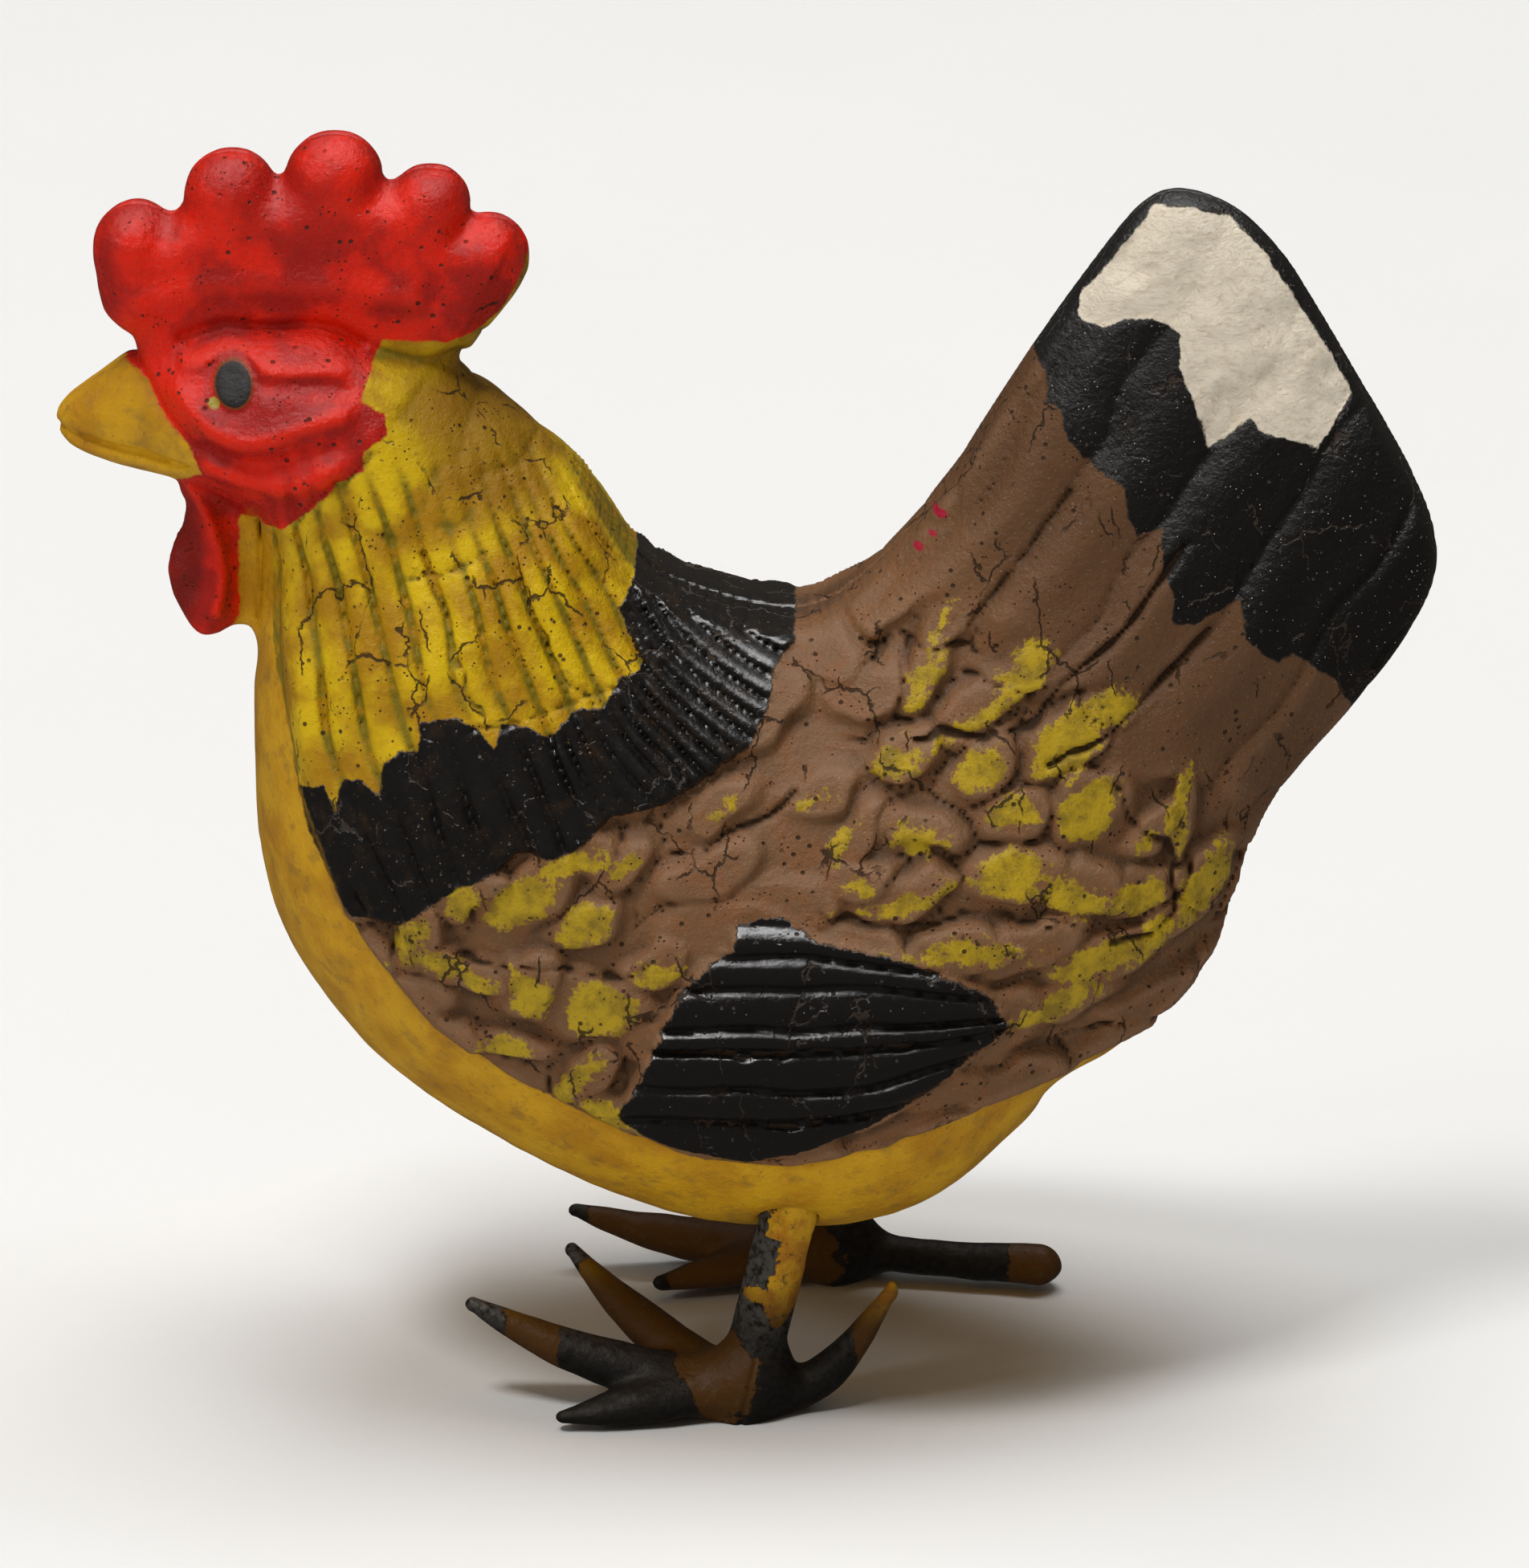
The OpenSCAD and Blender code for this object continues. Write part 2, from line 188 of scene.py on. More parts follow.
# Folds and grooves of the head: height, half width, points along the middle
HEAD_FOLDS = [
    (-0.45, 0.32, [(-23.6, 46.1), (-21.8, 46.7), (-20.0, 46.6), (-17.8, 46.7), (-16.2, 46.0)]),
    (0.22, 0.45, [(-23.4, 45.4), (-21.4, 46.0), (-19.6, 45.4), (-17.0, 45.4)]),
    (-0.20, 0.35, [(-19.9, 44.8), (-18.2, 44.9), (-16.8, 44.6)]),
    (0.38, 0.50, [(-23.7, 44.2), (-22.2, 42.9), (-20.6, 42.6), (-18.8, 43.2), (-16.9, 43.8)]),
    (-0.25, 0.35, [(-22.6, 42.0), (-20.6, 41.5), (-18.8, 41.9), (-17.2, 42.4)]),
    (0.32, 0.45, [(-22.4, 41.1), (-20.6, 40.6), (-18.9, 40.7), (-17.3, 41.5)]),
    (-0.32, 0.17, [(-29.6, 42.0), (-28.4, 41.7), (-26.6, 41.3), (-24.9, 41.1), (-23.4, 40.8)]),
    (0.16, 0.30, [(-28.4, 41.2), (-26.4, 40.8), (-24.4, 40.5)]),
    (-0.30, 0.25, [(-26.0, 45.2), (-25.2, 44.4), (-24.3, 43.2), (-23.0, 42.0)]),
    (-0.40, 0.55, [(-23.9, 38.2), (-23.7, 36.4), (-23.4, 34.8)]),
    (0.25, 0.28, [(-23.5, 39.3), (-22.5, 37.4), (-22.1, 35.6), (-22.4, 33.8)]),
    (-0.25, 0.14, [(-20.6, 38.2), (-20.6, 36.0), (-20.7, 33.4)]),
    (-0.30, 0.30, [(-15.6, 45.7), (-13.6, 45.2), (-12.2, 45.4)]),
    (0.25, 0.70, [(-25.4, 47.6), (-22.0, 48.4), (-18.0, 48.4), (-14.0, 48.0)]),
    (-0.16, 0.60, [(-24.1, 51.0), (-24.2, 50.4)]),
    (-0.20, 0.60, [(-19.7, 52.6), (-19.7, 51.8)]),
    (-0.20, 0.60, [(-15.1, 52.6), (-15.2, 52.0)]),
    (-0.20, 0.50, [(-11.6, 51.2), (-12.2, 50.6)]),
]

# Open cracks in the plumage, with their depth and half width
CRACKS = [
    (0.35, 0.13, [(-2.3, 25.8), (-0.6, 27.0), (1.2, 27.7), (2.2, 28.6)]),
    (0.35, 0.13, [(-11.6, 22.0), (-9.4, 21.7), (-7.4, 21.8), (-5.2, 21.4), (-4.0, 21.8)]),
    (0.45, 0.17, [(7.0, 30.6), (9.4, 30.6), (12.0, 31.0), (13.2, 32.6), (15.8, 34.8), (18.4, 38.4)]),
    (0.45, 0.17, [(12.8, 29.6), (15.2, 30.6), (17.2, 32.4), (19.6, 34.8)]),
    (0.35, 0.15, [(15.6, 28.6), (16.2, 26.8), (17.8, 25.4), (18.0, 22.6), (15.4, 22.0)]),
    (0.30, 0.12, [(9.4, 34.8), (11.4, 37.4), (13.4, 40.2)]),
    (0.30, 0.12, [(3.2, 23.9), (6.6, 23.3), (10.4, 23.6), (13.6, 23.0), (17.0, 22.6)]),
    (0.35, 0.14, [(-3.6, 18.4), (0.4, 18.2), (3.4, 18.4), (7.0, 18.5)]),
    (0.35, 0.14, [(-0.2, 15.1), (2.4, 14.9), (5.4, 15.4)]),
    (0.25, 0.12, [(-15.5, 42.3), (-16.7, 41.0), (-17.9, 40.2), (-18.6, 39.1)]),
    (0.25, 0.11, [(-13.6, 38.0), (-12.6, 36.2), (-12.2, 34.6), (-11.0, 31.8)]),
    (0.25, 0.11, [(-9.6, 37.4), (-8.8, 35.4), (-7.0, 32.8), (-6.2, 31.4)]),
    (0.22, 0.10, [(-14.0, 37.2), (-12.4, 37.4), (-11.0, 37.9)]),
    (0.22, 0.10, [(-12.2, 31.4), (-10.8, 31.4), (-8.2, 32.0), (-5.4, 32.6)]),
]

# --- Plane geometry -----------------------------------------------------------------------------


def smoothstep(value):
    """0 below 0, 1 above 1, and smooth between them."""
    t = np.clip(value, 0.0, 1.0)
    return t * t * (3.0 - 2.0 * t)


def bump(distance, half_width):
    """A rounded hump across a line, 1 on the line."""
    return np.exp(-((distance / half_width) ** 2))


def hump(x, z, place):
    """A rounded hump about a point, 1 at the point."""
    cx, cz, reach_x, reach_z = place
    return np.exp(-((x - cx) / reach_x) ** 2 - ((z - cz) / reach_z) ** 2)


def spline(points, steps=5):
    """Points along a Catmull-Rom curve through the given points."""
    p = np.array([points[0]] + list(points) + [points[-1]], float)
    t = np.arange(steps)[:, None] / steps
    parts = []
    for a, b, c, d in zip(p, p[1:], p[2:], p[3:]):
        parts.append(0.5 * (2 * b + (c - a) * t + (2 * a - 5 * b + 4 * c - d) * t**2
                            + (3 * b - a - 3 * c + d) * t**3))
    return np.vstack(parts + [p[-1:]])


def to_segment(x, z, a, b):
    """Squared distance to a segment, and on which side of it each point lies."""
    ex, ez = b[0] - a[0], b[1] - a[1]
    t = np.clip(((x - a[0]) * ex + (z - a[1]) * ez) / (ex * ex + ez * ez), 0.0, 1.0)
    squared = (x - a[0] - t * ex) ** 2 + (z - a[1] - t * ez) ** 2
    side = (z - a[1]) * ex - (x - a[0]) * ez
    return squared, side


def path_distance(x, z, points):
    """Distance to an open smooth path."""
    path = spline(points)
    best = np.full(np.shape(x), np.inf)
    for a, b in zip(path, path[1:]):
        best = np.minimum(best, to_segment(x, z, a, b)[0])
    return np.sqrt(best)


def side_distance(x, z, points, reach=15.0):
    """Distance to a path carried on straight past its ends, negative on its left."""
    path = spline(points)
    start = path[0] - reach * (path[1] - path[0]) / np.linalg.norm(path[1] - path[0])
    end = path[-1] + reach * (path[-1] - path[-2]) / np.linalg.norm(path[-1] - path[-2])
    path = np.vstack([start, path, end])
    best = np.full(np.shape(x), np.inf)
    sign = np.ones(np.shape(x))
    for a, b in zip(path, path[1:]):
        squared, side = to_segment(x, z, a, b)
        nearer = squared < best
        best = np.where(nearer, squared, best)
        sign = np.where(nearer, np.sign(side), sign)
    return -sign * np.sqrt(best)


def outline_distance(x, z, outline):
    """Distance to a closed outline, positive inside it."""
    best = np.full(np.shape(x), np.inf)
    inside = np.zeros(np.shape(x), bool)
    for a, b in zip(outline, outline[1:] + outline[:1]):
        best = np.minimum(best, to_segment(x, z, a, b)[0])
        if a[1] != b[1]:
            crossing = (b[0] - a[0]) * (z - a[1]) / (b[1] - a[1]) + a[0]
            inside ^= ((a[1] > z) != (b[1] > z)) & (x < crossing)
    return np.where(inside, 1.0, -1.0) * np.sqrt(best)


def oval_distance(x, z, cx, cz, half_length, half_width, turn=0.0):
    """About the distance to an oval, positive inside it."""
    c, s = math.cos(math.radians(turn)), math.sin(math.radians(turn))
    along = ((x - cx) * c + (z - cz) * s) / half_length
    across = ((z - cz) * c - (x - cx) * s) / half_width
    return (1.0 - np.sqrt(along**2 + across**2)) * min(half_length, half_width)


def fan_count(x, z, fan):
    """How many ridges of a fan lie on the left of each point."""
    sides = [side_distance(x, z, path) for _, path in fan]
    counts = [count for count, _ in fan]
    total = np.full(np.shape(x), float(counts[0]))
    for i in range(len(fan) - 1):
        left, right = sides[i], sides[i + 1]
        share = np.where(left <= 0, 0.0, np.where(right >= 0, 1.0, left / (left - right + 1e-9)))
        total += share * (counts[i + 1] - counts[i])
    return total


def ridge(count):
    """Rounded ridges with sharp grooves between them, from 0 in a groove to 1 on top."""
    f = count - np.floor(count)
    return np.sqrt(np.maximum(0.0, 1.0 - (2.0 * f - 1.0) ** 2))


def noise(x, z, cell, seed, octaves=1):
    """Smooth noise from -1 to 1 whose largest features are about a cell across."""
    total = 0.0
    weight = 0.0
    for octave in range(octaves):
        table = np.random.default_rng(seed + octave).uniform(-1, 1, (64, 64))
        u = x / cell * 2**octave + 200.0
        v = z / cell * 2**octave + 200.0
        i, j = np.floor(u).astype(int), np.floor(v).astype(int)
        s, t = smoothstep(u - i), smoothstep(v - j)
        low = table[i % 64, j % 64] * (1 - s) + table[(i + 1) % 64, j % 64] * s
        high = table[i % 64, (j + 1) % 64] * (1 - s) + table[(i + 1) % 64, (j + 1) % 64] * s
        total = total + (low * (1 - t) + high * t) * 0.5**octave
        weight += 0.5**octave
    return total / weight


# --- The relief on one side of the bird -----------------------------------------------------------

FEATHER_LENGTH = 2.8     # half length of one small feather
FEATHER_WIDTH = 1.45
FEATHER_APART = 2.5
LIP_CENTRE = (-16.0, 45.0)
LIP_REACH = 8.0          # round the head the plumage has no lip
LIP_HEIGHT = 0.42        # how far the plumage stands over the breast
LIP_ROLL = 0.15          # the bead along its edge
NECK_PROUD = 0.15        # how far the neck's feathers stand over the plumage
HACKLE_DEPTH = 0.60      # from groove to ridge, as are the next two depths
WING_DEPTH = 0.55
TAIL_DEPTH = 0.46
TAIL_WAVE = 0.09
WING_PROUD = 0.30        # how far the wing patch stands over the plumage
FEATHER_RISE = 0.78      # height of a small feather's tail over the ground round it
FEATHER_BASE = 0.36      # how far that ground is sunk
CRACK_DEPTH = 0.45
CHIP_DEPTH = 0.12
CHIP_PULP = 0.34         # roughness of the bare composition
RUMP_GAP_DEPTH = 1.3
RUMP_GAP = (14.4, 13.2, 1.5, 1.3)    # x, z and the reach of the dent each way
CALM_PATCH = (0.5, 27.0, 5.0, 3.0)   # the same, where the small feathers are fainter
LEFT_SEED = 40           # the two sides differ in everything that is random
RIGHT_SEED = 90


def feather_places(seed):
    """Each small feather's x, z, half length, half width and turn in degrees.

    There is one under each brush dab, and more wherever there is room.
    """
    rng = np.random.default_rng(seed)
    feathers = []
    for dx, dz, half_length, half_width, turn in DABS:
        long_enough = max(half_length + 0.9, 1.9)
        wide_enough = max(half_width + 0.4, 0.9)
        feathers.append((dx + 0.2, dz + 0.1, long_enough, wide_enough, turn))
    for _ in range(2500):
        x, z = rng.uniform(-19, 24), rng.uniform(12, 40)
        if all(math.hypot(x - other[0], z - other[1]) > FEATHER_APART for other in feathers):
            turn = 6.0 + 30.0 * float(smoothstep((x - 4.0) / 12.0 + (z - 26.0) / 14.0))
            size = rng.uniform(0.8, 1.15)
            turn += rng.uniform(-20, 20)
            feathers.append((x, z, FEATHER_LENGTH * size, FEATHER_WIDTH * size, turn))
    return feathers


def small_feathers(x, z, seed):
    """Overlapping lumps that rise towards their tails, and the narrow gaps between them."""
    x = x + 0.5 * noise(x, z, 2.8, seed + 11) + 0.25 * noise(x, z, 1.1, seed + 13)
    z = z + 0.45 * noise(x, z, 2.4, seed + 12) + 0.25 * noise(x, z, 1.0, seed + 14)
    rng = np.random.default_rng(seed + 15)
    top = np.zeros(np.shape(x))
    nearest = np.full(np.shape(x), 9.0)
    second = np.full(np.shape(x), 9.0)
    for sx, sz, half_length, half_width, turn in feather_places(seed):
        rise = rng.uniform(0.75, 1.1)
        near = np.abs(x - sx) + np.abs(z - sz) < 5.5
        c, s = math.cos(math.radians(turn)), math.sin(math.radians(turn))
        dx, dz = x[near] - sx, z[near] - sz
        lengthwise = (dx * c + dz * s) / half_length
        across = (dz * c - dx * s) / half_width
        distance = np.sqrt(lengthwise**2 + across**2)
        lump = rise * (0.76 + 0.26 * lengthwise) * smoothstep((1.12 - distance) / 0.42)
        top[near] = np.maximum(top[near], lump)
        closer = distance < nearest[near]
        second[near] = np.where(closer, nearest[near], np.minimum(second[near], distance))
        nearest[near] = np.where(closer, distance, nearest[near])
    gaps = bump(second - nearest, 0.05) * smoothstep((nearest - 0.35) / 0.2)
    return top, gaps * smoothstep(noise(x, z, 3.4, seed + 16) * 2.5 + 0.3)


def chip_distance(x, z, seed):
    """Distance to the chip in the tail, which is broken out of the left half only."""
    if seed != LEFT_SEED:
        return np.full(np.shape(x), -9.0)
    return outline_distance(x, z, CHIP)


def neck_relief(x, z, seed, lip):
    """Ridges of the hackle and the collar. Below the yellow they are finer towards the back."""
    count = fan_count(x, z, HACKLE_FAN)
    fine_count = count + np.maximum(0.0, count - 7.0)
    wander = 0.25 * noise(x, z, 3.0, seed + 1)
    below_yellow = smoothstep(-outline_distance(x, z, HACKLE) / 0.8)
    ridges = ridge(count + wander) * (1 - below_yellow) + ridge(fine_count + wander) * below_yellow
    growing = smoothstep((44.0 - z) / 7.0)
    uneven = 0.8 + 0.5 * noise(x, z, 2.0, seed + 9)
    return NECK_PROUD * lip + HACKLE_DEPTH * growing * uneven * (ridges - 0.6)


def wing_relief(x, z, seed):
    count = fan_count(x, z, WING_FAN) + 0.12 * noise(x, z, 2.5, seed + 2)
    return WING_PROUD + WING_DEPTH * (ridge(count) - 0.5)


def tail_relief(x, z, seed):
    """Broad flat ridges that fade towards the tip, with a faint wave between them."""
    count = fan_count(x, z, TAIL_FAN)
    wander = 0.10 * noise(x, z, 2.5, seed + 3)
    big = ridge(count + wander) ** 0.7
    secondary = np.sin(2 * math.pi * (count + wander) + 2.0 * noise(x, z, 5.0, seed + 10))
    from_tip = smoothstep((56.0 - z - 0.3 * x) / 16.0)
    return (0.4 + 0.6 * from_tip) * (TAIL_DEPTH * (big - 0.6) + TAIL_WAVE * secondary)


def head_relief(x, z):
    height = 0.0
    for amount, half_width, points in HEAD_FOLDS:
        height += amount * bump(path_distance(x, z, points), half_width)
    eye = oval_distance(x, z, *EYE)
    return height + 0.10 * smoothstep(eye / 0.2 + 0.5) - 0.14 * bump(eye + 0.22, 0.16)


def open_cracks(x, z, seed):
    """The drawn cracks, jogged and swelling along their length, 1 where one is fully open."""
    cracks = 0.0
    jog = 0.18 * noise(x, z, 0.9, seed + 4) + 0.10 * noise(x, z, 0.4, seed + 5)
    swell = np.maximum(0.35, 0.6 + 0.6 * noise(x, z, 1.1, seed + 6))
    for depth, half_width, points in CRACKS:
        line = bump(path_distance(x + jog, z + jog, points), half_width * swell)
        cracks = np.maximum(cracks, line * depth / CRACK_DEPTH)
    return cracks


def relief(x, z, seed):
    """Height of the surface over the plain form, and how open the cracks are, on one side."""
    plumage = outline_distance(x, z, PLUMAGE)
    neck = np.maximum(outline_distance(x, z, HACKLE), outline_distance(x, z, COLLAR))
    on_plumage = smoothstep(plumage / 0.4 + 0.5)
    on_neck = smoothstep(neck / 0.5 + 0.5)
    on_wing = smoothstep(outline_distance(x, z, WING_PATCH) / 0.6 + 0.8)
    on_tail = smoothstep(0.5 - side_distance(x, z, SMALL_FEATHER_EDGE) / 2.5)

    lip = smoothstep((np.hypot(x - LIP_CENTRE[0], z - LIP_CENTRE[1]) - LIP_REACH) / 4.0)
    height = lip * (LIP_HEIGHT * on_plumage + 0.03 + LIP_ROLL * bump(plumage - 0.45, 0.35))
    height += on_neck * neck_relief(x, z, seed, lip)

    lumps, gaps = small_feathers(x, z, seed)
    small = on_plumage * (1 - on_neck) * (1 - on_wing) * (1 - on_tail)
    height += small * (1.0 - 0.45 * hump(x, z, CALM_PATCH)) * (FEATHER_RISE * lumps - FEATHER_BASE)
    height += on_wing * wing_relief(x, z, seed)
    height += on_plumage * on_tail * tail_relief(x, z, seed)
    height += head_relief(x, z)

    cracks = np.maximum(0.7 * gaps * small, open_cracks(x, z, seed))
    height -= CRACK_DEPTH * cracks
    pulp = noise(x, z, 2.2, seed + 7, 4)
    height += smoothstep(chip_distance(x, z, seed) / 0.15 + 0.5) * (CHIP_PULP * pulp - CHIP_DEPTH)
    height += 0.05 * noise(x, z, 1.6, seed + 8, 3)
    height -= RUMP_GAP_DEPTH * hump(x, z, RUMP_GAP) * (1 - on_plumage)
    return height, cracks


# --- Volumes --------------------------------------------------------------------------------------


def blurred(values, radius):
    """Gaussian blur of a grid of values, the radius counted in cells."""
    reach = int(3 * radius) + 1
    weights = np.exp(-0.5 * (np.arange(-reach, reach + 1) / radius) ** 2)
    weights /= weights.sum()
    for axis in (0, 1):
        room = [(reach, reach) if a == axis else (0, 0) for a in (0, 1)]
        padded = np.pad(values, room, mode="edge")
        values = sum(w * np.take(padded, range(k, k + values.shape[axis]), axis=axis)
                     for k, w in enumerate(weights))
    return values


def ray_thickness(node, xs, zs):
    """Square of the half thickness of the part over a grid, 0 outside it."""
    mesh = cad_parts[node].data
    corners = [v.co / MM for v in mesh.vertices]
    tree = BVHTree.FromPolygons(corners, [tuple(p.vertices) for p in mesh.polygons])
    start = 30.0
    squared = np.zeros((len(xs), len(zs)))
    for i, x in enumerate(xs):
        for j, z in enumerate(zs):
            hit = tree.ray_cast(Vector((x, -start, z)), Vector((0, 1, 0)))[0]
            if hit is not None:
                squared[i, j] = hit.y**2
    return squared


def carry_outside(squared, step, block=2000):
    """Mirrors the values at the rim to the cells outside it, as numbers below 0."""
    inside = squared > 0
    rim = inside & ~(np.roll(inside, 1, 0) & np.roll(inside, -1, 0)
                     & np.roll(inside, 1, 1) & np.roll(inside, -1, 1))
    rim_places = np.argwhere(rim)
    outside_places = np.argwhere(~inside)
    mirrored = np.zeros(len(outside_places))
    for first in range(0, len(outside_places), block):
        cells = outside_places[first:first + block]
        gap = ((cells[:, None, :] - rim_places[None, :, :]) ** 2).sum(2)
        nearest = rim_places[gap.argmin(1)]
        image = np.clip(2 * nearest - cells, 0, np.array(squared.shape) - 1)
        depth = np.sqrt(gap.min(1)) * step
        mirrored[first:first + block] = -squared[image[:, 0], image[:, 1]] - 0.3 * depth
    squared[tuple(outside_places.T)] = mirrored
    return squared


def squared_thickness(node, xs, zs):
    """Square of the half thickness of the part, smoothed, and carried on below 0 outside it."""
    step = xs[1] - xs[0]
    squared = carry_outside(ray_thickness(node, xs, zs), step)
    on_head = near_head(*np.meshgrid(xs, zs, indexing="ij"))
    trunk = blurred(squared, SOFT_TRUNK / step)
    head = blurred(squared, SOFT_HEAD / step)
    return trunk * (1 - on_head) + head * on_head


def near_head(x, z):
    """1 over the comb, face, beak and wattle and 0 over the trunk."""
    return smoothstep((HEAD_REACH - path_distance(x, z, HEAD_LINE)) / 2.5)


def spine_distance(gx, gz):
    """Distance on the parting plane to the middle of the spine wire, and the wire's radius."""
    low, high = (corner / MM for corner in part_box("spine_wire"))
    radius = (high.y - low.y) / 2
    bend = (high.x - low.x) / 2 - radius
    cx, cz = (low.x + high.x) / 2, low.z + bend + radius
    turn = math.radians(8.0)
    around = np.arctan2(gz - cz, gx - cx)
    on_bend = (around < turn) | (around > math.pi - turn)
    arc = np.where(on_bend, np.abs(np.hypot(gx - cx, gz - cz) - bend), np.inf)
    best = arc**2
    for side in (-1, 1):
        foot = (cx + side * bend * math.cos(turn), cz + bend * math.sin(turn))
        tip = (foot[0] - side * 5.0 * math.sin(turn), foot[1] + 5.0 * math.cos(turn))
        best = np.minimum(best, to_segment(gx, gz, foot, tip)[0])
    return np.sqrt(best), radius


def wire_ends(node):
    """The middle of each end of a straight wire, the lower end first."""
    points = np.array([v.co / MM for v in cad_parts[node].data.vertices])
    order = np.argsort(points[:, 2])
    axis = points[order[-8:]].mean(0) - points[order[:8]].mean(0)
    axis /= np.linalg.norm(axis)
    along = points @ axis
    low = points[along < along.min() + 0.2].mean(0)
    high = points[along > along.max() - 0.2].mean(0)
    return low, high


def leg_line(node):
    """The two ends of a leg's wire, and where the cast leg round it ends."""
    low, high = wire_ends(node)
    unit = (high - low) / np.linalg.norm(high - low)
    return low, high, high - unit * LEG_WIRE_RISE


def rod_distance(x, y, z, low, high):
    """Distance to the axis between two points in space."""
    axis = high - low
    t = ((x - low[0]) * axis[0] + (y - low[1]) * axis[1] + (z - low[2]) * axis[2]) / (axis @ axis)
    t = np.clip(t, 0.0, 1.0)
    return np.sqrt((x - low[0] - t * axis[0]) ** 2 + (y - low[1] - t * axis[1]) ** 2
                   + (z - low[2] - t * axis[2]) ** 2)


def mesh_from_field(name, field, voxel, corner):
    """A mesh, in metres, of the surface where the field crosses 0. The field is positive inside."""
    grid = openvdb.FloatGrid(background=1.0)
    grid.copyFromArray(np.ascontiguousarray(-field, dtype=np.float32))
    points, quads = grid.convertToQuads(isovalue=0.0)
    points = settled(np.array(points, float), field) * voxel + corner
    mesh = bpy.data.meshes.new(name)
    mesh.from_pydata(points * MM, [], quads[:, ::-1].tolist())
    mesh.update()
    return mesh


def settled(points, field):
    """Moves points, in voxels, onto the surface of the field."""
    for _ in range(2):
        value = sampled(field, points)
        slope = np.stack([
            sampled(field, points + step) - sampled(field, points - step)
            for step in np.eye(3) * 0.5], axis=1)
        move = -value[:, None] * slope / np.maximum((slope**2).sum(1), 1e-4)[:, None]
        length = np.linalg.norm(move, axis=1, keepdims=True)
        points = points + move * np.minimum(1.0, 0.5 / np.maximum(length, 1e-6))
    return points


def sampled(field, points):
    """Values of a grid, flat or solid, at points counted in its cells."""
    base = np.clip(np.floor(points).astype(int), 0, np.array(field.shape) - 2)
    part = points - base
    total = 0.0
    for corner in np.ndindex(*(2,) * field.ndim):
        weight = np.prod(np.abs(1 - np.array(corner) - part), axis=1)
        total = total + weight * field[tuple((base + corner).T)]
    return total


def places(mesh):
    """The x, y and z of a mesh's points."""
    co = np.zeros(len(mesh.vertices) * 3)
    mesh.vertices.foreach_get("co", co)
    return co.reshape(-1, 3).T / MM


# --- The body halves ------------------------------------------------------------------------------

HOLLOW_REACH = 0.45      # a hollow is measured against the height this far round it
SEAM_GAP = 0.01          # each half stops this far from the parting plane
SEAM_ROUND = 0.12        # how the pressed edge is rounded along the seam
WIRE_ROOM = 0.07
LEG_R = 1.25             # radius of the cast leg that sits in the belly
LEG_WIRE_RISE = 9.0      # how far a leg wire stands above the cast leg


def body_grid():
    """Where the cells of both halves lie along x and z, and how deep the volume goes."""
    low, high = (np.array(corner) / MM for corner in CAD_BOX)
    xs = np.arange(low[0] - MARGIN, high[0] + MARGIN, BODY_VOXEL)
    zs = np.arange(BODY_FLOOR, high[2] + MARGIN, BODY_VOXEL)
    deep = -low[1] + 1.5
    return xs, zs, deep


def cut_at_seam(field, y):
    """Keeps what is beyond the parting plane, with a rounded edge."""
    inner = y - SEAM_GAP
    near = np.maximum(SEAM_ROUND * 2 - np.abs(field - inner), 0.0) / (SEAM_ROUND * 2)
    return np.minimum(field, inner) - near**2 * SEAM_ROUND * 0.5


def room_for_metal(field, x, y, z, side):
    """Cuts the spine wire's channel, the leg's socket and the leg wire's bore."""
    across, wire_r = spine_distance(x[:, 0, :], z[:, 0, :])
    channel = np.sqrt(across[:, None, :] ** 2 + y**2) - wire_r - WIRE_ROOM
    low, high, seat = leg_line("left_leg_wire" if side < 0 else "right_leg_wire")
    below = low - (high - low) / np.linalg.norm(high - low) * 4
    socket = rod_distance(x, y * side, z, below, seat) - LEG_R - 0.02
    bore = rod_distance(x, y * side, z, low, high) - wire_r - WIRE_ROOM
    return np.minimum(np.minimum(field, channel), np.minimum(socket, bore))


def body_half(side, name, squared, xs, zs, deep):
    """One pressed half: side -1 is the bird's left, which faces the camera, and +1 its right."""
    gx, gz = np.meshgrid(xs, zs, indexing="ij")
    seed = LEFT_SEED if side < 0 else RIGHT_SEED
    height, cracks = relief(gx, gz, seed)
    height = height * smoothstep(np.sqrt(np.maximum(squared, 0.0)) / 1.4 + 0.15)
    around = blurred(height, HOLLOW_REACH / BODY_VOXEL)
    slope_x, slope_z = np.gradient(squared, BODY_VOXEL)
    ys = np.arange(-0.8, deep, BODY_VOXEL)
    y = ys[None, :, None]
    steep = np.sqrt((slope_x**2 + slope_z**2)[:, None, :] + 4 * y**2 + 0.05)
    field = cut_at_seam((squared[:, None, :] - y**2) / steep + height[:, None, :], y)
    field = room_for_metal(field, gx[:, None, :], y, gz[:, None, :], side)
    mesh = mesh_from_field(name, field, BODY_VOXEL, np.array([xs[0], ys[0], zs[0]]))
    flatten_seam(mesh)
    x, z = places(mesh)[[0, 2]]
    cell = np.stack([x - xs[0], z - zs[0]], axis=1) / BODY_VOXEL
    add_values(mesh, "hollow", sampled(around - height, cell))
    add_values(mesh, "cracks", sampled(cracks, cell))
    paint_values(mesh, x, z, seed)
    if side < 0:
        mesh.transform(Matrix.Scale(-1, 4, (0, 1, 0)))
        mesh.flip_normals()
    return mesh


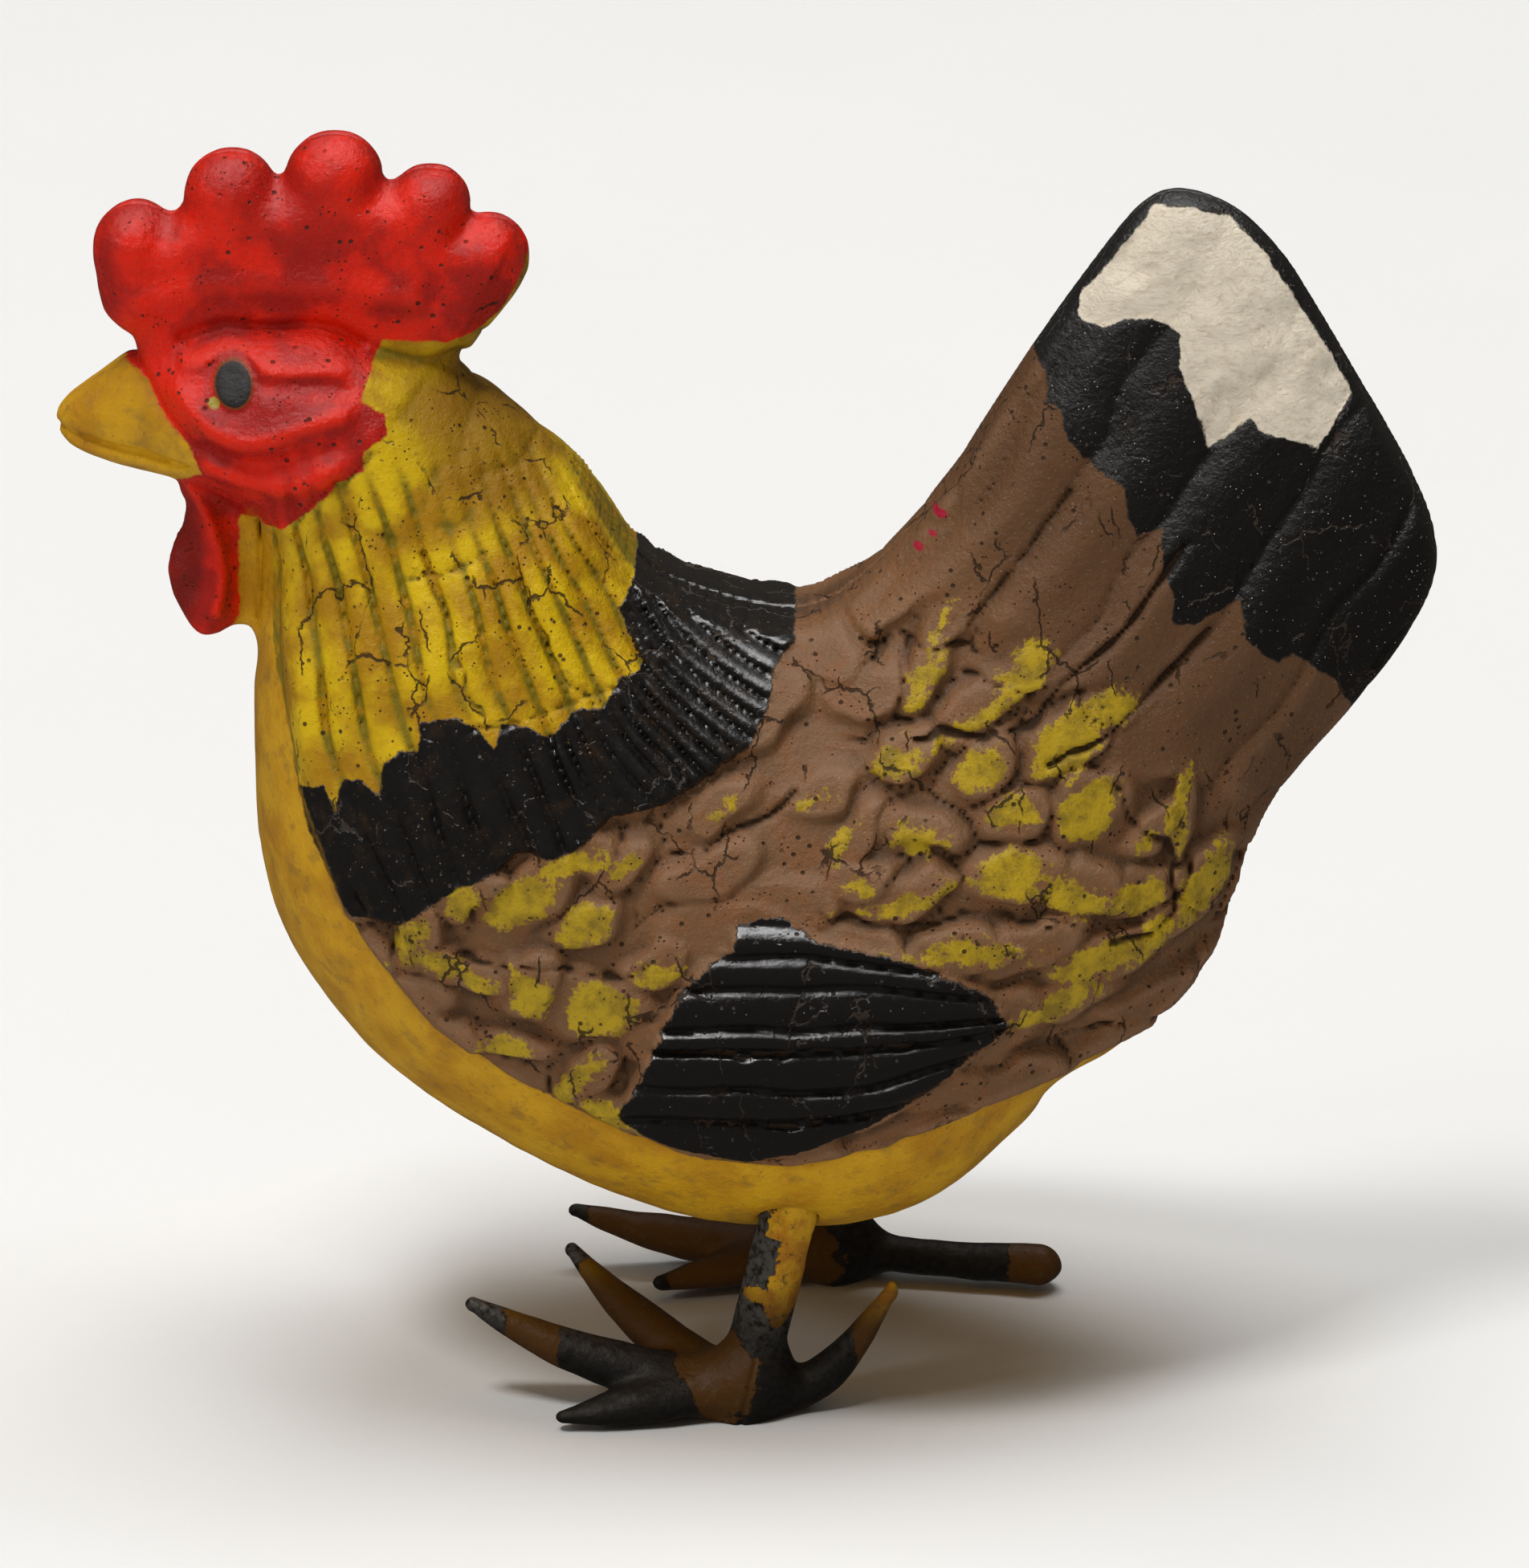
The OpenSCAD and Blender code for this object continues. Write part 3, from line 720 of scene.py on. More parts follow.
def flatten_seam(mesh):
    """Replaces the fine faces on the parting plane by a few large ones."""
    plane = SEAM_GAP * MM
    bm = bmesh.new()
    bm.from_mesh(mesh)
    for v in bm.verts:
        if abs(v.co.y - plane) < 0.03 * MM:
            v.co.y = plane
    flat = [f for f in bm.faces if all(abs(v.co.y - plane) < 1e-9 for v in f.verts)]
    bmesh.ops.delete(bm, geom=flat, context="FACES")
    loose = [v for v in bm.verts if not v.link_faces]
    bmesh.ops.delete(bm, geom=loose, context="VERTS")
    rim = [e for e in bm.edges if e.is_boundary]
    bmesh.ops.triangle_fill(bm, edges=rim, use_beauty=False, normal=(0, -1, 0))
    bm.to_mesh(mesh)
    bm.free()
    mesh.update()


def add_values(mesh, name, values):
    attribute = mesh.attributes.new(name, "FLOAT", "POINT")
    attribute.data.foreach_set("value", np.asarray(values, np.float32))


def dab_distance(x, z, jitter, seed):
    """Distance to the nearest brush dab. The far side has its dabs in slightly other places."""
    rng = np.random.default_rng(seed)
    ragged_x = x + 0.55 * noise(x, z, 1.7, seed + 20, 2)
    ragged_z = z + 0.50 * noise(x, z, 1.5, seed + 23, 2)
    best = np.full(np.shape(x), -9.0)
    for dx, dz, half_length, half_width, turn in DABS:
        move = rng.uniform(-jitter, jitter, 2)
        centre = (dx + move[0], dz + move[1])
        oval = oval_distance(ragged_x, ragged_z, *centre, half_length, half_width, turn)
        best = np.maximum(best, oval)
    return best


def paint_values(mesh, x, z, seed):
    """Stores, at each point of a half, how far it lies inside each painted region."""
    for name, outline in (("plumage", PLUMAGE), ("red_face", RED_FACE), ("hackle", HACKLE),
                          ("collar", COLLAR), ("wing", WING_PATCH), ("tail_black", TAIL_BLACK)):
        add_values(mesh, name, outline_distance(x, z, outline))
    for name, oval in (("eye", EYE), ("eye_spot", EYE_SPOT), ("wattle_dish", WATTLE_DISH),
                       ("nape", COMB_SHADOW_PLACE)):
        add_values(mesh, name, oval_distance(x, z, *oval))
    add_values(mesh, "chip", chip_distance(x, z, seed))
    specks = [oval_distance(x, z, *speck) for speck in RED_SPECKS]
    add_values(mesh, "red_specks", np.max(specks, axis=0))
    add_values(mesh, "dabs", dab_distance(x, z, 0.0 if seed == LEFT_SEED else DAB_JITTER, seed))


# --- The feet -------------------------------------------------------------------------------------
# Each toe: tip, how far its middle sags, half width, half thickness, tip size, painted spans

HUB_R = 1.75
LEG_DEEP = 1.15          # the leg's reach across the bird, a little less than LEG_R
FACET = 1.45             # 2 would give the leg a round section, less gives it ridges
FOOT_BORE_R = 0.64
TOE_ROOT_Z = 1.2
TAPER_START = 0.45       # share of a toe's length where it starts to narrow
KEEL = 1.8               # 2 would give round sections, less gives them ridges
LEFT_TOES = [
    ((-7.5, -9.8, 0.62), 0.0, 1.25, 0.95, 0.30, []),
    ((-11.5, -6.6, 4.4), 0.9, 1.20, 1.05, 0.28, [(0.68, 0.88)]),
    ((-7.4, -1.5, 4.8), 0.9, 1.15, 0.95, 0.28, [(0.22, 0.92)]),
    ((6.4, -6.4, 5.1), 1.9, 1.05, 0.88, 0.28, [(0.74, 1.10)]),
]
RIGHT_TOES = [
    ((-7.5, 8.2, 2.6), 0.6, 1.25, 1.00, 0.30, [(0.30, 0.95)]),
    ((-3.6, 4.4, 0.8), 0.0, 1.10, 0.85, 0.40, [(0.10, 0.98)]),
    ((-3.4, 10.9, 0.8), 0.0, 1.10, 0.85, 0.30, [(0.50, 0.90)]),
    ((13.0, 6.2, 1.05), 0.1, 0.90, 0.80, 1.15, [(0.86, 1.20)]),
]


def joined(a, b, blend):
    """Union of two fields that are positive inside, with a fillet."""
    h = np.maximum(blend - np.abs(a - b), 0.0) / blend
    return np.maximum(a, b) + h * h * blend / 4


def toe_field(x, y, z, root, spec):
    """A curved leaf-shaped toe, and how far along it each point lies."""
    tip, sag, half_width, half_thick, tip_share, _ = spec
    ex, ey = tip[0] - root[0], tip[1] - root[1]
    length = math.hypot(ex, ey)
    t = np.clip(((x - root[0]) * ex + (y - root[1]) * ey) / length**2, 0.0, 1.0)
    cx, cy = root[0] + ex * t, root[1] + ey * t
    cz = root[2] + (tip[2] - root[2]) * t - 4 * sag * t * (1 - t)
    slope = ((tip[2] - root[2]) - 4 * sag * (1 - 2 * t)) / length
    taper = 1.0 - (1.0 - tip_share) * np.clip((t - TAPER_START) / (1.0 - TAPER_START), 0.0, 1.0) ** 1.7
    wide = half_width * taper
    thick = half_thick * taper * np.sqrt(1.0 + slope**2)
    across = ((y - cy) * ex - (x - cx) * ey) / length
    ahead = ((x - cx) * ex + (y - cy) * ey) / length
    keel = (np.abs(across / wide) ** KEEL + np.abs((z - cz) / thick) ** KEEL
            + np.abs(ahead / wide) ** KEEL)
    return (1.0 - keel ** (1 / KEEL)) * np.minimum(wide, thick), t


def shank_field(ax, ay, z, top):
    """The leg's ridged column, wider towards the foot and cut off at the top."""
    swell = 1.0 + 0.55 * smoothstep((3.4 - z) / 2.2)
    facets = (np.abs(ax) / (LEG_R * swell)) ** FACET + (np.abs(ay) / (LEG_DEEP * swell)) ** FACET
    return np.minimum((1.0 - facets ** (1 / FACET)) * LEG_DEEP, top - 0.1 - z)


def shank_paint(x, ax, z):
    """The leg's paint is left on its front face above the ankle, and in one patch."""
    upper = np.where(z > 4.5 + 0.5 * np.sin(x * 3), 1.0, -1.0)
    facing = ax * 0.9 + 0.15 + np.where(z > 8.0, 0.6, 0.0)
    on_facet = np.minimum(facing, upper * np.abs(z - 4.5) * 0.8)
    patch = 0.5 - np.hypot(ax + 0.6, (z - 5.5) * 1.3)
    return np.maximum(on_facet, patch)


def foot_parts(x, y, z, leg, toes, side):
    """The field of a cast foot, and how far inside its remaining paint each point lies."""
    low, high, seat = leg_line(leg)
    unit = (high - low) / np.linalg.norm(high - low)
    hub = low + unit * (1.0 - low[2]) / unit[2]
    up = (z - hub[2]) / unit[2]
    ax = x - hub[0] - up * unit[0]
    ay = y - hub[1] - up * unit[1]
    middle = np.sqrt(((x - hub[0]) / 1.1) ** 2 + (y - hub[1]) ** 2 + ((z - 1.5) / 0.95) ** 2)
    field = joined(shank_field(ax, ay, z, seat[2]), HUB_R - 0.1 - middle, 0.9)
    on_hub = 2.3 - np.sqrt((x - hub[0] + 1.0) ** 2 + (y - hub[1]) ** 2 + ((z - 1.5) * 1.1) ** 2)
    paint = np.maximum(on_hub, shank_paint(x, ax, z))
    root = (hub[0], hub[1], TOE_ROOT_Z)
    for spec in toes:
        tip, spans = spec[0], spec[-1]
        toe, t = toe_field(x, y, z, root, spec)
        field = joined(field, toe, 0.7)
        length = math.hypot(tip[0] - root[0], tip[1] - root[1])
        for first, last in spans:
            span = np.minimum(t - first, last - t) * length
            paint = np.maximum(paint, np.where(toe > -0.25, span, -1.0))
    parting = bump(ax, 0.10) * smoothstep((3.6 - z) / 1.0) * (ay * side > 0)
    wobble = 0.05 * noise(x + 0.4 * z, y * 1.2 + z * 0.8, 1.3, 7, 2)
    field = np.minimum(field - 0.12 * parting + wobble, z)
    bore = rod_distance(x, y, z, low, high) - FOOT_BORE_R
    return np.minimum(field, bore), paint


def foot(name, node, leg, toes, side):
    low, high = (np.array(corner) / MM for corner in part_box(node))
    low = low - 0.8
    low[2] = -0.4
    axes = [np.arange(a, b + 0.8, FOOT_VOXEL) for a, b in zip(low, high)]
    x, y, z = np.meshgrid(*axes, indexing="ij")
    field, _ = foot_parts(x, y, z, leg, toes, side)
    mesh = mesh_from_field(name, field, FOOT_VOXEL, np.array([axis[0] for axis in axes]))
    add_values(mesh, "paint", foot_parts(*places(mesh), leg, toes, side)[1])
    return mesh


# --- Materials ------------------------------------------------------------------------------------


class Look:
    """A short way to write one material's nodes. Places inside it are in millimetres."""

    def __init__(self, name):
        self.material = bpy.data.materials.new(name)
        self.material.use_nodes = True
        self.tree = self.material.node_tree
        self.shader = self.tree.nodes["Principled BSDF"]
        place = self.node("TexCoord", "Object", {})
        self.place = self.node("VectorMath", 0, {0: place, "Scale": 1.0 / MM}, operation="SCALE")

    def put(self, socket, value):
        """Links an output to a socket, or sets the socket to a number or a color."""
        if isinstance(value, bpy.types.NodeSocket):
            self.tree.links.new(value, socket)
        elif isinstance(value, tuple) and len(value) == 3 and socket.type == "RGBA":
            socket.default_value = (*value, 1.0)
        else:
            socket.default_value = value

    def node(self, kind, output, inputs, **settings):
        """Adds a node with its settings and inputs, and gives back one of its outputs."""
        node = self.tree.nodes.new("ShaderNode" + kind)
        for name, value in settings.items():
            setattr(node, name, value)
        for key, value in inputs.items():
            self.put(node.inputs[key], value)
        return node.outputs[output]

    def math(self, operation, a, b=0.0):
        return self.node("Math", 0, {0: a, 1: b}, operation=operation)

    def plus(self, a, b):
        return self.math("ADD", a, b)

    def minus(self, a, b):
        return self.math("SUBTRACT", a, b)

    def times(self, a, b):
        return self.math("MULTIPLY", a, b)

    def most(self, a, b):
        return self.math("MAXIMUM", a, b)

    def step(self, value, low, high):
        """0 where the value is at low and 1 where it is at high, smooth between them."""
        limits = {"Value": value, "From Min": low, "From Max": high}
        return self.node("MapRange", 0, limits, interpolation_type="SMOOTHSTEP")

    def mix(self, share, a, b):
        """A color between a and b."""
        return self.node("Mix", "Result", {"Factor": share, "A": a, "B": b}, data_type="RGBA")

    def tint(self, color, other, where, share):
        """The color with a share of another over it, where the mask is 1."""
        return self.mix(self.times(where, share), color, other)

    def blend(self, share, a, b):
        """A number between a and b."""
        return self.node("Mix", "Result", {"Factor": share, "A": a, "B": b})

    def value(self, name):
        """A value stored at the mesh's points."""
        return self.node("Attribute", "Fac", {}, attribute_name=name)

    def moved(self, stretch=(1, 1, 1), turn=0.0, warp=0.0, warp_scale=0.6):
        """The place, stretched, turned about y and pushed about by noise."""
        place = self.place
        if warp:
            push = {"Scale": warp_scale, "Detail": 4.0, "Vector": place}
            pushed = {0: self.node("TexNoise", "Color", push), 1: (warp, warp, warp), 2: place}
            place = self.node("VectorMath", 0, pushed, operation="MULTIPLY_ADD")
        turned = (0.0, math.radians(turn), 0.0)
        return self.node("Mapping", 0, {"Rotation": turned, "Scale": stretch, "Vector": place})

    def height(self):
        """How far above the floor, in millimetres."""
        return self.node("SeparateXYZ", "Z", {0: self.place})

    def noise(self, scale, detail=3.0, rough=0.55, place=None):
        grain = {"Scale": scale, "Detail": detail, "Roughness": rough, "Vector": place or self.place}
        return self.node("TexNoise", "Fac", grain)

    def cells(self, scale, feature="F1", place=None):
        """Distance to the middle, or to the edge, of the nearest cell of a random pattern."""
        pattern = {"Scale": scale, "Vector": place or self.place}
        return self.node("TexVoronoi", "Distance", pattern, feature=feature)

    def finish(self, color, rough, height, **other):
        """The height is in millimetres."""
        self.put(self.shader.inputs["Base Color"], color)
        self.put(self.shader.inputs["Roughness"], rough)
        for name, value in other.items():
            self.put(self.shader.inputs[name.replace("_", " ")], value)
        normal = self.node("Bump", "Normal", {"Distance": MM, "Height": height})
        self.put(self.shader.inputs["Normal"], normal)
        return self.material


OCHRE = (0.54, 0.290, 0.006)
OCHRE_DARK = (0.40, 0.185, 0.004)
YELLOW = (0.56, 0.37, 0.003)
YELLOW_ORANGE = (0.33, 0.165, 0.003)
OLIVE = (0.155, 0.120, 0.008)
# The hackle's colour inside the comb's painted shadow
COMB_SHADOW_COLOR = (0.22, 0.105, 0.004)
BROWN = (0.150, 0.076, 0.034)
BROWN_RED = (0.175, 0.076, 0.030)
BROWN_IN_SHADE = (0.070, 0.036, 0.018)
BROWN_TAIL = (0.088, 0.042, 0.019)
CRIMSON = (0.31, 0.008, 0.005)
SCARLET = (0.62, 0.012, 0.002)
SCARLET_BRIGHT = (0.66, 0.017, 0.002)
WINE = (0.13, 0.008, 0.006)
BLACK = (0.0060, 0.0055, 0.0055)
BLACK_BROWN = (0.024, 0.013, 0.006)
CHARCOAL = (0.022, 0.021, 0.021)
CREAM = (0.96, 0.86, 0.69)
CREAM_IN_SHADE = (0.76, 0.61, 0.44)
DIRT = (0.030, 0.016, 0.008)
DUST = (0.55, 0.53, 0.50)
DAB = (0.38, 0.255, 0.010)
DAB_DARK = (0.19, 0.125, 0.012)
OCHRE_STAIN = (0.22, 0.12, 0.020)
OCHRE_SPOT = (0.16, 0.085, 0.020)
BROWN_LIT_TOPS = (0.24, 0.135, 0.075)
BROWN_SHEEN_SPECK = (0.34, 0.26, 0.20)
RED_SPECK = (0.30, 0.010, 0.030)
YELLOW_SPOT = (0.20, 0.12, 0.012)
COLLAR_SPECK = (0.16, 0.10, 0.03)
RED_SPOT = (0.14, 0.010, 0.008)
EYE_RIM = (0.20, 0.045, 0.010)
EYE_CORNER = (0.32, 0.24, 0.03)
METAL_IN_SHADE = (0.022, 0.020, 0.018)
METAL_HIGH = (0.115, 0.108, 0.097)
METAL_DARK = (0.016, 0.014, 0.012)
LEG_OCHRE = (0.48, 0.26, 0.004)
LEG_ORANGE = (0.32, 0.130, 0.004)
OCHRE_IN_SHADE = (0.056, 0.022, 0.003)
LEG_SPOT = (0.06, 0.034, 0.010)
STEEL = (0.42, 0.41, 0.39)
STEEL_DARK = (0.25, 0.24, 0.23)
RUST = (0.14, 0.055, 0.022)
PAPER = (0.81, 0.81, 0.80)
PAPER_BRIGHT = (0.85, 0.85, 0.84)
COMB_LIT_TOPS = (49.8, 51.2)  # the heights over which the comb's top is painted brighter red, a painted highlight


class Composition(Look):
    """The painted body's material, with the textures and regions that its coats share."""

    def __init__(self):
        super().__init__("painted_composition")
        self.broad = self.noise(0.35, 4.0)
        self.patchy = self.noise(0.9, 5.0, 0.6)
        self.grain = self.noise(3.2, 6.0, 0.62)
        self.fine = self.noise(11.0, 3.0)
        self.ragged = self.times(self.minus(self.noise(1.7, 6.0, 0.68), 0.5), 0.9)
        self.fibres = self.noise(2.6, 8.0, 0.72, self.moved((1.0, 1.0, 2.2), 40.0, 1.2))
        self.hollow = self.value("hollow")
        # 1 on parts raised over the surface round them, which the plumage and the head paint lighter
        # as a painted highlight
        self.proud = self.step(self.times(self.hollow, -1.0), 0.0, 0.16)
        self.plumage = self.region("plumage", wobble=0.3)
        self.hackle = self.region("hackle", wobble=0.55)
        self.neck_black = self.times(self.region("collar", wobble=0.6), self.minus(1.0, self.hackle))
        self.wing = self.region("wing", wobble=0.8)
        self.tail_black = self.region("tail_black", wobble=0.6)
        self.red = self.region("red_face", wobble=0.45)
        self.eye = self.region("eye", 0.03, 0.12)
        self.chip = self.region("chip", 0.04, 0.5)
        self.unchipped = self.minus(1.0, self.chip)

    def region(self, name, soft=0.06, wobble=1.0, grow=0.0):
        """1 inside a painted region, with the ragged edge that a brush leaves."""
        value = self.plus(self.value(name), self.times(self.ragged, wobble))
        return self.step(self.plus(value, grow), -soft, soft)


def breast_paint(k):
    color = k.mix(k.step(k.broad, 0.35, 0.68), OCHRE, OCHRE_DARK)
    color = k.tint(color, OCHRE_STAIN, k.step(k.patchy, 0.50, 0.70), 0.55)
    return k.tint(color, OCHRE_SPOT, k.step(k.grain, 0.60, 0.70), 0.55)


def brush_dabs(k):
    """Where a nearly dry brush touched the feathers, which it did less in the hollows."""
    dry = k.times(k.minus(k.grain, 0.5), 1.1)
    brushed = k.plus(k.times(k.ragged, 1.5), dry)
    touched = k.plus(k.plus(k.value("dabs"), brushed), k.times(k.hollow, -0.8))
    return k.step(touched, -0.06, 0.14)


def plumage_paint(k):
    color = k.mix(k.step(k.patchy, 0.38, 0.66), BROWN, BROWN_RED)
    color = k.tint(color, BROWN_TAIL, k.step(k.value("tail_black"), -10.0, -3.0), 0.8)
    # Painted shade: the hollows between the small feathers are painted darker brown
    color = k.tint(color, BROWN_IN_SHADE, k.step(k.hollow, 0.04, 0.26), 0.85)
    # Painted highlight: raised feather tops are painted lighter brown
    color = k.tint(color, BROWN_LIT_TOPS, k.proud, 0.35)
    # Painted sheen: small light specks over the brown
    color = k.tint(color, BROWN_SHEEN_SPECK, k.step(k.fine, 0.64, 0.72), 0.5)
    dab = k.mix(k.step(k.patchy, 0.40, 0.70), DAB, DAB_DARK)
    dab = k.tint(dab, DAB_DARK, k.step(k.grain, 0.52, 0.68), 0.6)
    color = k.mix(brush_dabs(k), color, dab)
    return k.mix(k.region("red_specks", 0.03, 0.2), color, RED_SPECK)


def hackle_paint(k):
    color = k.mix(k.step(k.broad, 0.38, 0.62), YELLOW, YELLOW_ORANGE)
    olive = k.mix(k.step(k.patchy, 0.45, 0.62), OLIVE, YELLOW_ORANGE)
    # Olive grime in the hackle's grooves, which are also painted darker as shade
    color = k.tint(color, olive, k.step(k.hollow, -0.03, 0.12), 0.9)
    color = k.tint(color, YELLOW_SPOT, k.step(k.grain, 0.58, 0.70), 0.5)
    # Painted shadow of the comb: the nape under it is painted darker
    return k.tint(color, COMB_SHADOW_COLOR, k.step(k.value("nape"), -1.2, 1.2), 0.85)


def collar_paint(k):
    color = k.tint(BLACK, BLACK_BROWN, k.step(k.patchy, 0.50, 0.72), 0.7)
    return k.tint(color, COLLAR_SPECK, k.step(k.noise(6.5, 2.0), 0.70, 0.74), 0.7)


def tail_paint(k):
    dust = k.times(k.step(k.cells(4.2), 0.13, 0.06), k.step(k.noise(0.8, 2.0), 0.42, 0.58))
    return k.mix(dust, BLACK, DUST)


def head_paint(k):
    color = k.mix(k.step(k.broad, 0.40, 0.62), CRIMSON, SCARLET)
    scarlet = k.mix(k.step(k.patchy, 0.30, 0.60), SCARLET, SCARLET_BRIGHT)
    # Painted highlights: raised parts of the head, and the comb's top, are painted brighter red
    color = k.tint(color, scarlet, k.proud, 0.85)
    up_the_comb = k.plus(k.height(), k.times(k.ragged, 2.5))
    color = k.tint(color, scarlet, k.step(up_the_comb, *COMB_LIT_TOPS), 0.25)
    color = k.tint(color, RED_SPOT, k.step(k.grain, 0.62, 0.72), 0.6)
    # Painted shade: the crease down the wattle is painted dark wine
    return k.tint(color, WINE, k.step(k.value("wattle_dish"), -0.25, 0.35), 0.85)


def eye_paint(k, color):
    color = k.mix(k.region("eye", 0.03, 0.12, 0.10), color, EYE_RIM)
    color = k.mix(k.eye, color, CHARCOAL)
    return k.mix(k.region("eye_spot", 0.05, 0.3), color, EYE_CORNER)


def hairlines(k):
    """Fine cracks in the paint over the feathers."""
    lines = k.cells(0.38, "DISTANCE_TO_EDGE", k.moved((1, 1, 0.6), 15.0, 0.8, 1.8))
    where = k.step(k.noise(0.45, 3.0), 0.50, 0.58)
    return k.times(k.times(k.step(lines, 0.020, 0.006), where), k.times(k.plumage, k.unchipped))


def pits(k):
    """Pinholes in the paint of the feathers and the head, in two sizes."""
    large = k.times(k.step(k.cells(1.5), 0.17, 0.09), k.step(k.noise(0.5, 2.0), 0.48, 0.55))
    small = k.times(k.step(k.cells(3.6), 0.20, 0.10), k.step(k.noise(0.9, 2.0), 0.52, 0.60))
    return k.times(k.times(k.most(large, small), k.most(k.plumage, k.red)), k.unchipped)


def roughness(k, dirt):
    rough = k.blend(k.plumage, 0.46, 0.38)
    for region, value in ((k.hackle, 0.40), (k.neck_black, 0.24), (k.wing, 0.16), (k.tail_black, 0.36),
                          (k.red, 0.26), (k.eye, 0.55), (k.chip, 0.95)):
        rough = k.blend(region, rough, value)
    rough = k.plus(rough, k.times(k.minus(k.grain, 0.5), 0.25))
    return k.blend(dirt, rough, 0.9)


def fine_height(k, holes):
    """Grain too fine for the mesh, shallower under the gloss paint, and the holes in it."""
    matt = k.minus(1.0, k.most(k.wing, k.neck_black))
    height = k.times(k.grain, k.blend(matt, 0.035, 0.115))
    height = k.plus(height, k.times(k.fine, k.blend(matt, 0.006, 0.022)))
    height = k.plus(height, k.times(k.chip, k.times(k.fibres, 0.30)))
    height = k.minus(height, k.times(holes, 0.12))
    return k.plus(height, k.times(k.chip, -0.06))


def shine(k):
    """The wing and collar are glossiest, then the black tail, then the head."""
    glossy = k.most(k.most(k.wing, k.neck_black), k.times(k.red, 0.30))
    glossy = k.most(glossy, k.times(k.tail_black, 0.8))
    return k.blend(glossy, 0.24, 0.85)


def painted_composition():
    """The painted body: each coat lies over the last."""
    k = Composition()
    color = breast_paint(k)
    for region, coat in ((k.plumage, plumage_paint(k)), (k.hackle, hackle_paint(k)),
                         (k.neck_black, collar_paint(k)), (k.wing, BLACK),
                         (k.tail_black, tail_paint(k)), (k.red, head_paint(k))):
        color = k.mix(region, color, coat)
    color = eye_paint(k, color)
    # Bare composition, with painted shade in darker patches among its fibres
    cream = k.mix(k.step(k.fibres, 0.46, 0.72), CREAM, CREAM_IN_SHADE)
    color = k.mix(k.chip, color, cream)
    holes = k.most(hairlines(k), pits(k))
    open_cracks = k.times(k.step(k.value("cracks"), 0.25, 0.60), k.unchipped)
    dirt = k.most(holes, open_cracks)
    color = k.tint(color, DIRT, dirt, 0.9)
    return k.finish(color, roughness(k, dirt), fine_height(k, holes), Specular_IOR_Level=shine(k))


def painted_pewter():
    """Dull cast metal with what is left of its ochre paint, both painted darker towards the floor as
    shade under the body.
    """
    k = Look("painted_pewter")
    grain = k.noise(3.0, 5.0, 0.6)
    ragged = k.times(k.minus(k.noise(1.3, 6.0, 0.68), 0.5), 1.3)
    paint = k.step(k.plus(k.value("paint"), ragged), -0.04, 0.04)
    # Painted shade: the bare metal is painted darker towards the floor, under the body
    metal = k.mix(k.step(k.height(), 2.0, 6.0), METAL_IN_SHADE, METAL_HIGH)
    metal = k.mix(k.step(grain, 0.40, 0.66), metal, METAL_DARK)
    ochre = k.mix(k.step(k.noise(0.9, 4.0), 0.40, 0.62), LEG_OCHRE, LEG_ORANGE)
    # Painted shade: the ochre turns dark brown towards the floor
    ochre = k.mix(k.step(k.height(), 7.0, 3.5), ochre, OCHRE_IN_SHADE)
    ochre = k.tint(ochre, LEG_SPOT, k.step(grain, 0.56, 0.66), 0.7)
    color = k.mix(paint, metal, ochre)
    rough = k.blend(paint, k.blend(grain, 0.35, 0.65), 0.48)
    height = k.plus(k.times(grain, 0.07), k.times(paint, 0.04))
    return k.finish(color, rough, height, Metallic=k.blend(paint, 0.55, 0.0), Specular_IOR_Level=0.25)


def drawn_steel():
    """Plain wire with fine drawing lines and a little rust."""
    k = Look("drawn_steel")
    lines = k.noise(9.0, 4.0, 0.6, k.moved((3.0, 3.0, 0.3)))
    rust = k.step(k.noise(0.8, 5.0), 0.55, 0.68)
    color = k.mix(rust, k.mix(lines, STEEL, STEEL_DARK), RUST)
    rough = k.blend(rust, k.blend(lines, 0.28, 0.50), 0.85)
    height = k.plus(k.times(lines, 0.02), k.times(rust, 0.03))
    return k.finish(color, rough, height, Metallic=k.blend(rust, 1.0, 0.15))


def paper():
    k = Look("paper")
    color = k.mix(k.noise(0.02, 3.0), PAPER, PAPER_BRIGHT)
    return k.finish(color, 0.75, k.times(k.noise(1.5, 4.0), 0.02))


# --- Putting the bird together --------------------------------------------------------------------


def add_piece(mesh, node, material):
    """Shows a mesh in place of a part, on the part's own body."""
    for polygon in mesh.polygons:
        polygon.use_smooth = True
    mesh.materials.append(material)
    piece = bpy.data.objects.new(mesh.name, mesh)
    bpy.context.scene.collection.objects.link(piece)
    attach(piece, "root")
    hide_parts(node)
    return piece


def build_body():
    xs, zs, deep = body_grid()
    squared = squared_thickness("left_body_half", xs, zs)
    material = painted_composition()
    for side, node in ((-1, "left_body_half"), (1, "right_body_half")):
        name = node.replace("body_half", "painted_half")
        mesh = body_half(side, name, squared, xs, zs, deep)
        add_piece(mesh, node, material)


def build_feet():
    material = painted_pewter()
    for side, toes in ((-1, LEFT_TOES), (1, RIGHT_TOES)):
        bird_side = "left" if side < 0 else "right"
        mesh = foot(bird_side + "_cast_foot", bird_side + "_foot", bird_side + "_leg_wire", toes, side)
        add_piece(mesh, bird_side + "_foot", material)


def finish_wires():
    steel = drawn_steel()
    for node in ("spine_wire", "left_leg_wire", "right_leg_wire"):
        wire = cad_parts[node]
        wire.data.materials.clear()
        wire.data.materials.append(steel)


# --- Studio ---------------------------------------------------------------------------------------

